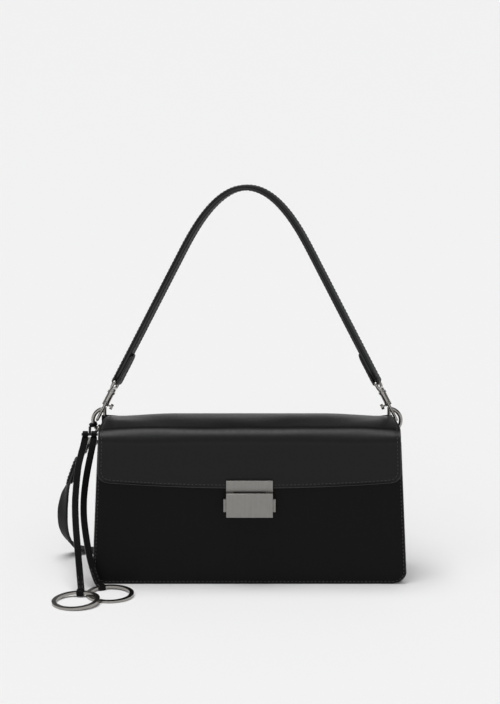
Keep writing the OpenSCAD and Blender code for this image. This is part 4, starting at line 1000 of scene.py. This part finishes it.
def near_frame():
    """Middle of the near hook's eye and the direction in which the strap hangs from it."""
    wire = Vector((-BAR_L + BOW_R * cosd(NEAR_A), RING_Y, RING_Z + BOW_R * sind(NEAR_A)))
    down, fall = (Vector((-sind(a), 0, -cosd(a))) for a in (NEAR_LEAN, NEAR_HANG))
    return wire + (NEAR_SLACK + EYE_REACH) * down, fall


def long_line():
    """Route and width directions of the long strap, from the near hook to the far one."""
    end, fall = near_frame()
    run = [end + down * fall for down in (EYE_ROOM + 0.4, 12, LONG_FOLD + 1)]
    run += [Vector(p) for p in LONG_ROUTE]
    n, flat = len(run), 10
    ways = []
    for i in range(n):
        if i < flat:
            swing = -NEAR_TWIST[i] if i < len(NEAR_TWIST) else 0
            ways.append(Vector((sind(swing), cosd(swing), 0)))
        else:
            edge = 90 * (i - flat) / (n - flat)
            ways.append(Vector((0, cosd(edge), sind(edge))))
    start, low = COIL_X - COIL_RUN / 2, LONG_W / 2
    coil = [Vector((start, COIL_Y - COIL_R, low))]
    for k in range(COIL_TURNS):
        s = 1 if k % 2 == 0 else -1
        for i in range(13):
            t = i / 12
            r = COIL_R - (k + t) * COIL_PITCH / 2
            coil.append(Vector((COIL_X + s * (COIL_RUN / 2 + r * math.sin(math.pi * t)),
                COIL_Y - s * r * math.cos(math.pi * t), low)))
    last_y = COIL_Y - (COIL_R - COIL_TURNS * COIL_PITCH / 2)
    for along, over in TAIL:
        coil.append(Vector((start + along * (FAR_X - start), last_y + over * (FAR_Y - last_y),
            low + over * (FAR_Z - low))))
    return run + coil, ways + [Vector((0, 0, 1))] * len(coil)


class BAG_OT_long_strap(bpy.types.Operator):
    """Long strap, hanging from the left ring and put away in a flat coil behind the bag"""
    bl_idname = "bag.long_strap"
    bl_label = "Long strap"

    def execute(self, context):
        route, ways = long_line()
        fine = smoothed(route, 4)
        fine_ways = [a.lerp(b, k / 4) for a, b in zip(ways, ways[1:]) for k in range(4)] + ways[-1:]
        strap = calf("long_strap_calf", sweep(fine, fine_ways,
            band(LONG_W, -LONG_T / 2, LONG_T / 2, 0.6)), "strap_calf", "bag",
            "long_strap_run", "long_strap_coil")
        end, _ = near_frame()
        place = shift(*end) @ turn("Y", 180 + NEAR_HANG)
        ends = turned_end(place, LONG_W, LONG_T / 2, LONG_FOLD, LONG_FOLD, "long_end_near",
            "bag", True)
        place = shift(FAR_X + EYE_ROOM + 0.4, FAR_Y, FAR_Z) @ turn("Y", -90) @ turn("Z", 90) \
            @ Matrix.Scale(-1, 4, (1, 0, 0))
        ends += turned_end(place, LONG_W, LONG_T / 2, LONG_FOLD, LONG_FOLD, "long_end_far",
            "bag", True)
        length = sum((b - a).length for a, b in zip(fine, fine[1:])) * MM
        placed(fine[0])
        [placed(p) for p in fine]
        return {"FINISHED"}


# Thongs: the same places as in the solids
KEEPER_A, KEEPER_HOLE, KEEPER_T, KEEPER_W, KEEPER_SHIFT = 200.0, 2.5, 1.0, 3.0, 0.55
PIN = Vector((-133.6, 22.0, 113.9))
PIN_R, PIN_L, NECK_W, THONG_W, THONG_T = 1.1, 13.6, 2.2, 5.5, 1.8
LOOP_W = THONG_W - 1
LOOP_X = NECK_W / 2 + 0.3 + LOOP_W / 2
KEY_R, KEY_RIM, KEY_T = 19.5, 3.6, 2.0
KEY_L, KEY_L_TILT, KEY_L_WAY, KEY_L_AT = (-139.9, -79.5), 4.4, (0.6, -0.8, 0), 82
KEY_RT, KEY_RT_TILT, KEY_RT_AT = (-113.4, -60.6), 2.0, 117
THONG_L = [(-138.6, 17, 105.5), (-140.4, 12.5, 99), (-142.6, 4, 88.5), (-144, -12, 67),
    (-143, -25, 50.5), (-141, -37, 35), (-138.4, -50, 14), (-137.5, -54.6, 7.4),
    (-137.1, -57.4, 4.6), (-136.9, -59.5, 3.6)]
THONG_R = [(-131, 17, 105.5), (-132.6, 13, 98), (-135.4, 6, 84), (-137.4, -2, 68),
    (-137.4, -10, 54.5), (-136, -18, 44.5), (-133.9, -26, 34.6), (-131.7, -32.5, 25.5),
    (-129, -37.2, 16.6), (-126.2, -40, 8.6), (-124.4, -41.2, 4.8), (-122.7, -42.6, 2.9)]
# From a flat ring's steel to the middle of its loop's leather, the loop's corner radius, and how
# far the leather reaches outward and inward from that middle
LOOP_ROOM, LOOP_R, LOOP_OUT, LOOP_IN = 0.45 + 0.35, 0.5, 0.7, 0.33
# Where a thong's seams lie: in from its edges, and between these points from its end
THONG_SEAM, SEAM_FIRST, SEAM_LAST = 1.2, 16, 4


def key_rise(tilt):
    """Height of a flat ring's middle where it lies tilted on the ground."""
    return KEY_T / 2 * cosd(tilt) + KEY_R * sind(tilt)


def joined(parts):
    """Points, faces and marks of several closed forms as one."""
    points, faces, marks = [], [], []
    for more_points, more_faces, more_marks in parts:
        first = len(points)
        points += more_points
        faces += [tuple(first + i for i in face) for face in more_faces]
        marks += more_marks
    return points, faces, marks


class BAG_OT_thongs(bpy.types.Operator):
    """Keeper loop with its roll, two thongs and the loops that hold the flat steel rings"""
    bl_idname = "bag.thongs"
    bl_label = "Thongs"

    def execute(self, context):
        reach = BOW_R + KEEPER_SHIFT
        at = Vector((-BAR_L + reach * cosd(KEEPER_A), RING_Y, RING_Z + reach * sind(KEEPER_A)))
        place = shift(*at) @ turn("Y", -KEEPER_A)
        r = KEEPER_HOLE + KEEPER_T / 2
        ring = moved([Vector((r * cosd(a), r * sind(a), 0)) for a in range(0, 360, 12)], place)
        axis = place.to_3x3() @ Vector((0, 0, 1))
        neck = smoothed([at + Vector((-2.6, -2.4, -1.6)), PIN + Vector((0, 2.6, 2.2)),
            PIN + Vector((0, 0, 0.4))], 4)
        roll = [PIN + Vector((x * PIN_L, 0, 0)) for x in (-0.5, -0.47, 0, 0.47, 0.5)]
        circle = [(PIN_R * cosd(a), PIN_R * sind(a)) for a in range(0, 360, 20)]
        right = Vector((1, 0, 0))
        keeper = joined((
            sweep(ring, [axis] * len(ring), band(KEEPER_W, -0.45, 0.45, 0.35), True),
            sweep(neck, [right] * len(neck), band(NECK_W, -0.75, 0.75, 0.3)),
            sweep(roll, [Vector((0, 1, 0))] * len(roll), circle)))
        calf("thong_keeper_calf", keeper, "strap_calf", "bag", "thong_keeper")
        frame_l = shift(*KEY_L, key_rise(KEY_L_TILT)) @ Matrix.Rotation(
            math.radians(KEY_L_TILT), 4, Vector(KEY_L_WAY))
        frame_r = shift(*KEY_RT, key_rise(KEY_RT_TILT)) @ turn("X", KEY_RT_TILT)
        half = THONG_T / 2
        for name, side, line, swing, key, spot in (("left", -1, THONG_L, 10, frame_l, KEY_L_AT),
                ("right", 1, THONG_R, 20, frame_r, KEY_RT_AT)):
            x = PIN.x + side * LOOP_X
            r = PIN_R + 0.05 + half
            top = [Vector((x, PIN.y + r * cosd(a), PIN.z + r * sind(a))) for a in range(0, 360, 15)]
            route = [Vector((x, PIN.y - 1, PIN.z - 2.1))] + [Vector(p) for p in line]
            turns = [0] + [swing * min(1, i / 3) for i in range(len(line))]
            fine = smoothed(route, 5)
            ways = [a + (b - a) * k / 5 for a, b in zip(turns, turns[1:]) for k in range(5)]
            ways = [Vector((cosd(a), sind(a), 0)) for a in ways + turns[-1:]]
            wide, tall = KEY_RIM / 2 + LOOP_ROOM - LOOP_R, KEY_T / 2 + LOOP_ROOM - LOOP_R
            hold = key @ turn("Z", spot) @ shift(KEY_R - KEY_RIM / 2, 0, 0)
            eye = [Vector((sx * wide + LOOP_R * cosd(start + 30 * k), 0,
                sz * tall + LOOP_R * sind(start + 30 * k)))
                for sx, sz, start in ((1, 1, 0), (-1, 1, 90), (-1, -1, 180), (1, -1, 270))
                for k in range(4)]
            axis = hold.to_3x3() @ Vector((0, 1, 0))
            thong = joined((
                sweep(top, [right] * len(top), band(LOOP_W, -half + 0.03, half - 0.03, 0.5), True),
                sweep(fine, ways, band(THONG_W, -half, half, 0.5)),
                sweep(moved(eye, hold), [axis] * len(eye),
                    band(THONG_W, -LOOP_OUT, LOOP_IN, 0.4), True)))
            calf("thong_%s_calf" % name, thong, "strap_calf", "thongs", "thong_" + name)
            seam = list(zip(fine, frames(fine, ways)))[-SEAM_FIRST:-SEAM_LAST]
            lines = [[(p + a * s * (THONG_W / 2 - THONG_SEAM) + o * way * half, o * way)
                for p, (_, a, o) in seam] for s in (-1, 1) for way in (-1, 1)]
            stitches("thong_%s_stitches" % name, lines, "thongs")
        return {"FINISHED"}


# The crowned field of the lock's plates: least area of its face, inset from the edge, and height
FIELD_AREA, FIELD_IN, FIELD_RISE = 20, 1.2, 0.06
# Profile of the plates' rolled edges, and thickness of the plate on the block
PLATE_EDGE, FACE_T = 0.6, 1.6


def rounded_plate(name, low, high, r, body, node):
    """A thin steel plate with rolled edges and a slightly crowned face."""
    work = bmesh.new()
    bmesh.ops.create_cube(work, size=1.0)
    low, high = Vector(low), Vector(high)
    for v in work.verts:
        v.co = Vector([(low[k] + high[k]) / 2 + v.co[k] * (high[k] - low[k]) for k in range(3)])
    bmesh.ops.bevel(work, geom=work.edges[:], offset=r, segments=3, profile=PLATE_EDGE,
        affect="EDGES")
    front = [f for f in work.faces if f.normal.y < -0.99 and f.calc_area() > FIELD_AREA]
    bmesh.ops.inset_region(work, faces=front, thickness=FIELD_IN, depth=0.0)
    for f in front:
        for v in f.verts:
            v.co.y -= FIELD_RISE
    work.verts.index_update()
    points = [v.co.copy() for v in work.verts]
    faces = [tuple(v.index for v in f.verts) for f in work.faces]
    work.free()
    return piece(name, points, faces, ["satin"], body, None, [node], True)


class BAG_OT_lock_plates(bpy.types.Operator):
    """Brushed front plates of the lock, on the block and on the flap"""
    bl_idname = "bag.lock_plates"
    bl_label = "Lock plates"

    def execute(self, context):
        a = LOCK_W / 2
        front = FLAP_FRONT - LOCK_DEEP
        rounded_plate("lock_block_plate", (-a, front, LOCK_LOW), (a, front + FACE_T, LOCK_TOP),
            0.45, "bag", "lock_face")
        rounded_plate("lock_flap_plate", (-a, FLAP_FRONT - PLATE_T, LOCK_TOP + 0.06),
            (a, FLAP_FRONT, LOCK_TOP + 0.3 + PLATE_H), 0.4, "flap", "flap_plate")
        return {"FINISHED"}


class BAG_OT_metal(bpy.types.Operator):
    """Gives the lock, hooks, rings, rivets and boards their finishes"""
    bl_idname = "bag.metal"
    bl_label = "Metal and boards"

    def execute(self, context):
        looks = {"steel_satin": "satin", "steel_polished": "bright", "steel_plain": "plain",
            "stiffener_board": "board"}
        for sub in frame["record"]["subparts"]:
            look = looks.get(sub["material_slot"])
            node = frame["nodes"].get(sub["node"])
            if look and node:
                if not node.material_slots:
                    node.data.materials.append(LOOKS[look])
                for place in node.material_slots:
                    place.material = LOOKS[look]
        return {"FINISHED"}


# The camera that was fitted to the photograph: its place, its lens and how far it looks down
CAMERA_AT, CAMERA_LENS, CAMERA_DOWN = (0.41, -1937.87, 629.83), 123.9, 12.8
FLOOR_HALF = 20.0
# The room that is seen is pale up to the first of these heights and dark above the second. Each
# is the sine of the angle above the horizon
ROOM_PALE, ROOM_DARK = 0.16, 0.42


class BAG_OT_stage(bpy.types.Operator):
    """Camera, floor, surroundings and soft studio light"""
    bl_idname = "bag.stage"
    bl_label = "Stage"

    def execute(self, context):
        stage = context.scene.bag_stage
        scene = context.scene
        camera_data = bpy.data.cameras.new("camera")
        camera_data.sensor_width = 36
        camera_data.lens = CAMERA_LENS
        camera_data.clip_start = 0.05
        camera_data.clip_end = 100
        camera = bpy.data.objects.new("camera", camera_data)
        camera.location = placed(CAMERA_AT)
        camera.rotation_euler = (math.radians(90 - CAMERA_DOWN), 0, 0)
        scene.collection.objects.link(camera)
        scene.camera = camera
        scene.view_settings.view_transform = "Standard"

        mesh = bpy.data.meshes.new("floor")
        half = FLOOR_HALF
        mesh.from_pydata([(-half, -half, 0), (half, -half, 0), (half, half, 0), (-half, half, 0)],
            [], [(0, 1, 2, 3)])
        floor = bpy.data.objects.new("floor", mesh)
        scene.collection.objects.link(floor)
        paper = material("studio_paper_matt", {"Base Color": list(stage.floor) + [1],
            "Roughness": 0.9, "Specular IOR Level": 0.1})[0]
        mesh.materials.append(paper)

        world = bpy.data.worlds.new("studio")
        scene.world = world
        world.use_nodes = True
        tree = world.node_tree
        tree.nodes.clear()
        # The camera and mirrored rays see that room, and everything else gets a soft fill light
        rays = add(tree, "ShaderNodeLightPath")
        clear = add(tree, "ShaderNodeMath", {"operation": "MAXIMUM"},
            {0: rays.outputs["Is Glossy Ray"], 1: rays.outputs["Is Transmission Ray"]})
        seen = add(tree, "ShaderNodeMath", {"operation": "MAXIMUM"},
            {0: rays.outputs["Is Camera Ray"], 1: clear.outputs[0]})
        up = add(tree, "ShaderNodeSeparateXYZ", {},
            {0: add(tree, "ShaderNodeTexCoord").outputs["Generated"]}).outputs["Z"]
        above = add(tree, "ShaderNodeMapRange", {"interpolation_type": "SMOOTHSTEP",
            "From Min": ROOM_PALE, "From Max": ROOM_DARK}, {"Value": up}).outputs["Result"]
        room = add(tree, "ShaderNodeMix", {"data_type": "RGBA", MIX_LOW: linear("#f4f4f4"),
            MIX_HIGH: linear("#3c3c3c")}, {"Factor": above})
        pale = add(tree, "ShaderNodeBackground", {"Strength": 1.0},
            {"Color": room.outputs[MIX_COLOUR]})
        soft = add(tree, "ShaderNodeBackground", {"Color": linear("#f6f6f6"), "Strength": stage.fill})
        both = add(tree, "ShaderNodeMixShader", {}, {0: seen.outputs[0],
            1: soft.outputs[0], 2: pale.outputs[0]})
        add(tree, "ShaderNodeOutputWorld", links={"Surface": both.outputs[0]})

        # Each light with the width of its source in degrees and the direction in which it shines
        for name, energy, angle, way in (("overhead", stage.key, 36, (0.12, 0.0, -1)),
                ("front", stage.front, 85, (0.12, 0.9, -1))):
            light = bpy.data.lights.new(name, "SUN")
            light.energy = energy
            light.angle = math.radians(angle)
            lamp = bpy.data.objects.new(name, light)
            lamp.rotation_euler = Vector(way).to_track_quat("-Z", "Y").to_euler()
            scene.collection.objects.link(lamp)
        return {"FINISHED"}


STEPS = ("stage", "panels", "gussets", "flap", "inside", "ring_tabs", "carrying_strap",
    "long_strap", "thongs", "lock_plates", "metal")


class BAG_PT_sidebar(bpy.types.Panel):
    """Lists the bag's settings and its pieces"""
    bl_idname = "BAG_PT_sidebar"
    bl_label = "Bag"
    bl_space_type = "VIEW_3D"
    bl_region_type = "UI"
    bl_category = "Bag"

    def draw(self, context):
        for group in ("bag_leather", "bag_metal", "bag_stage"):
            settings = getattr(context.scene, group)
            box = self.layout.box()
            for key in settings.__annotations__:
                box.prop(settings, key)
        for step in STEPS:
            self.layout.operator("bag." + step)


CLASSES = (BagLeather, BagMetal, BagStage, BAG_OT_stage, BAG_OT_panels, BAG_OT_gussets,
    BAG_OT_flap, BAG_OT_inside, BAG_OT_ring_tabs, BAG_OT_carrying_strap, BAG_OT_long_strap,
    BAG_OT_thongs, BAG_OT_lock_plates, BAG_OT_metal, BAG_PT_sidebar)
GROUPS = {"bag_leather": BagLeather, "bag_metal": BagMetal, "bag_stage": BagStage}


def register():
    """Registers the classes and hangs their settings on the scene."""
    for item in CLASSES:
        bpy.utils.register_class(item)
    for name, group in GROUPS.items():
        setattr(bpy.types.Scene, name, bpy.props.PointerProperty(type=group))


def unregister():
    """Takes both away again."""
    for name in GROUPS:
        delattr(bpy.types.Scene, name)
    for item in reversed(CLASSES):
        bpy.utils.unregister_class(item)


def main():
    """Builds the bag step by step."""
    register()
    make_looks()
    for step in STEPS:
        getattr(bpy.ops.bag, step)()


if __name__ == "__main__":
    main()
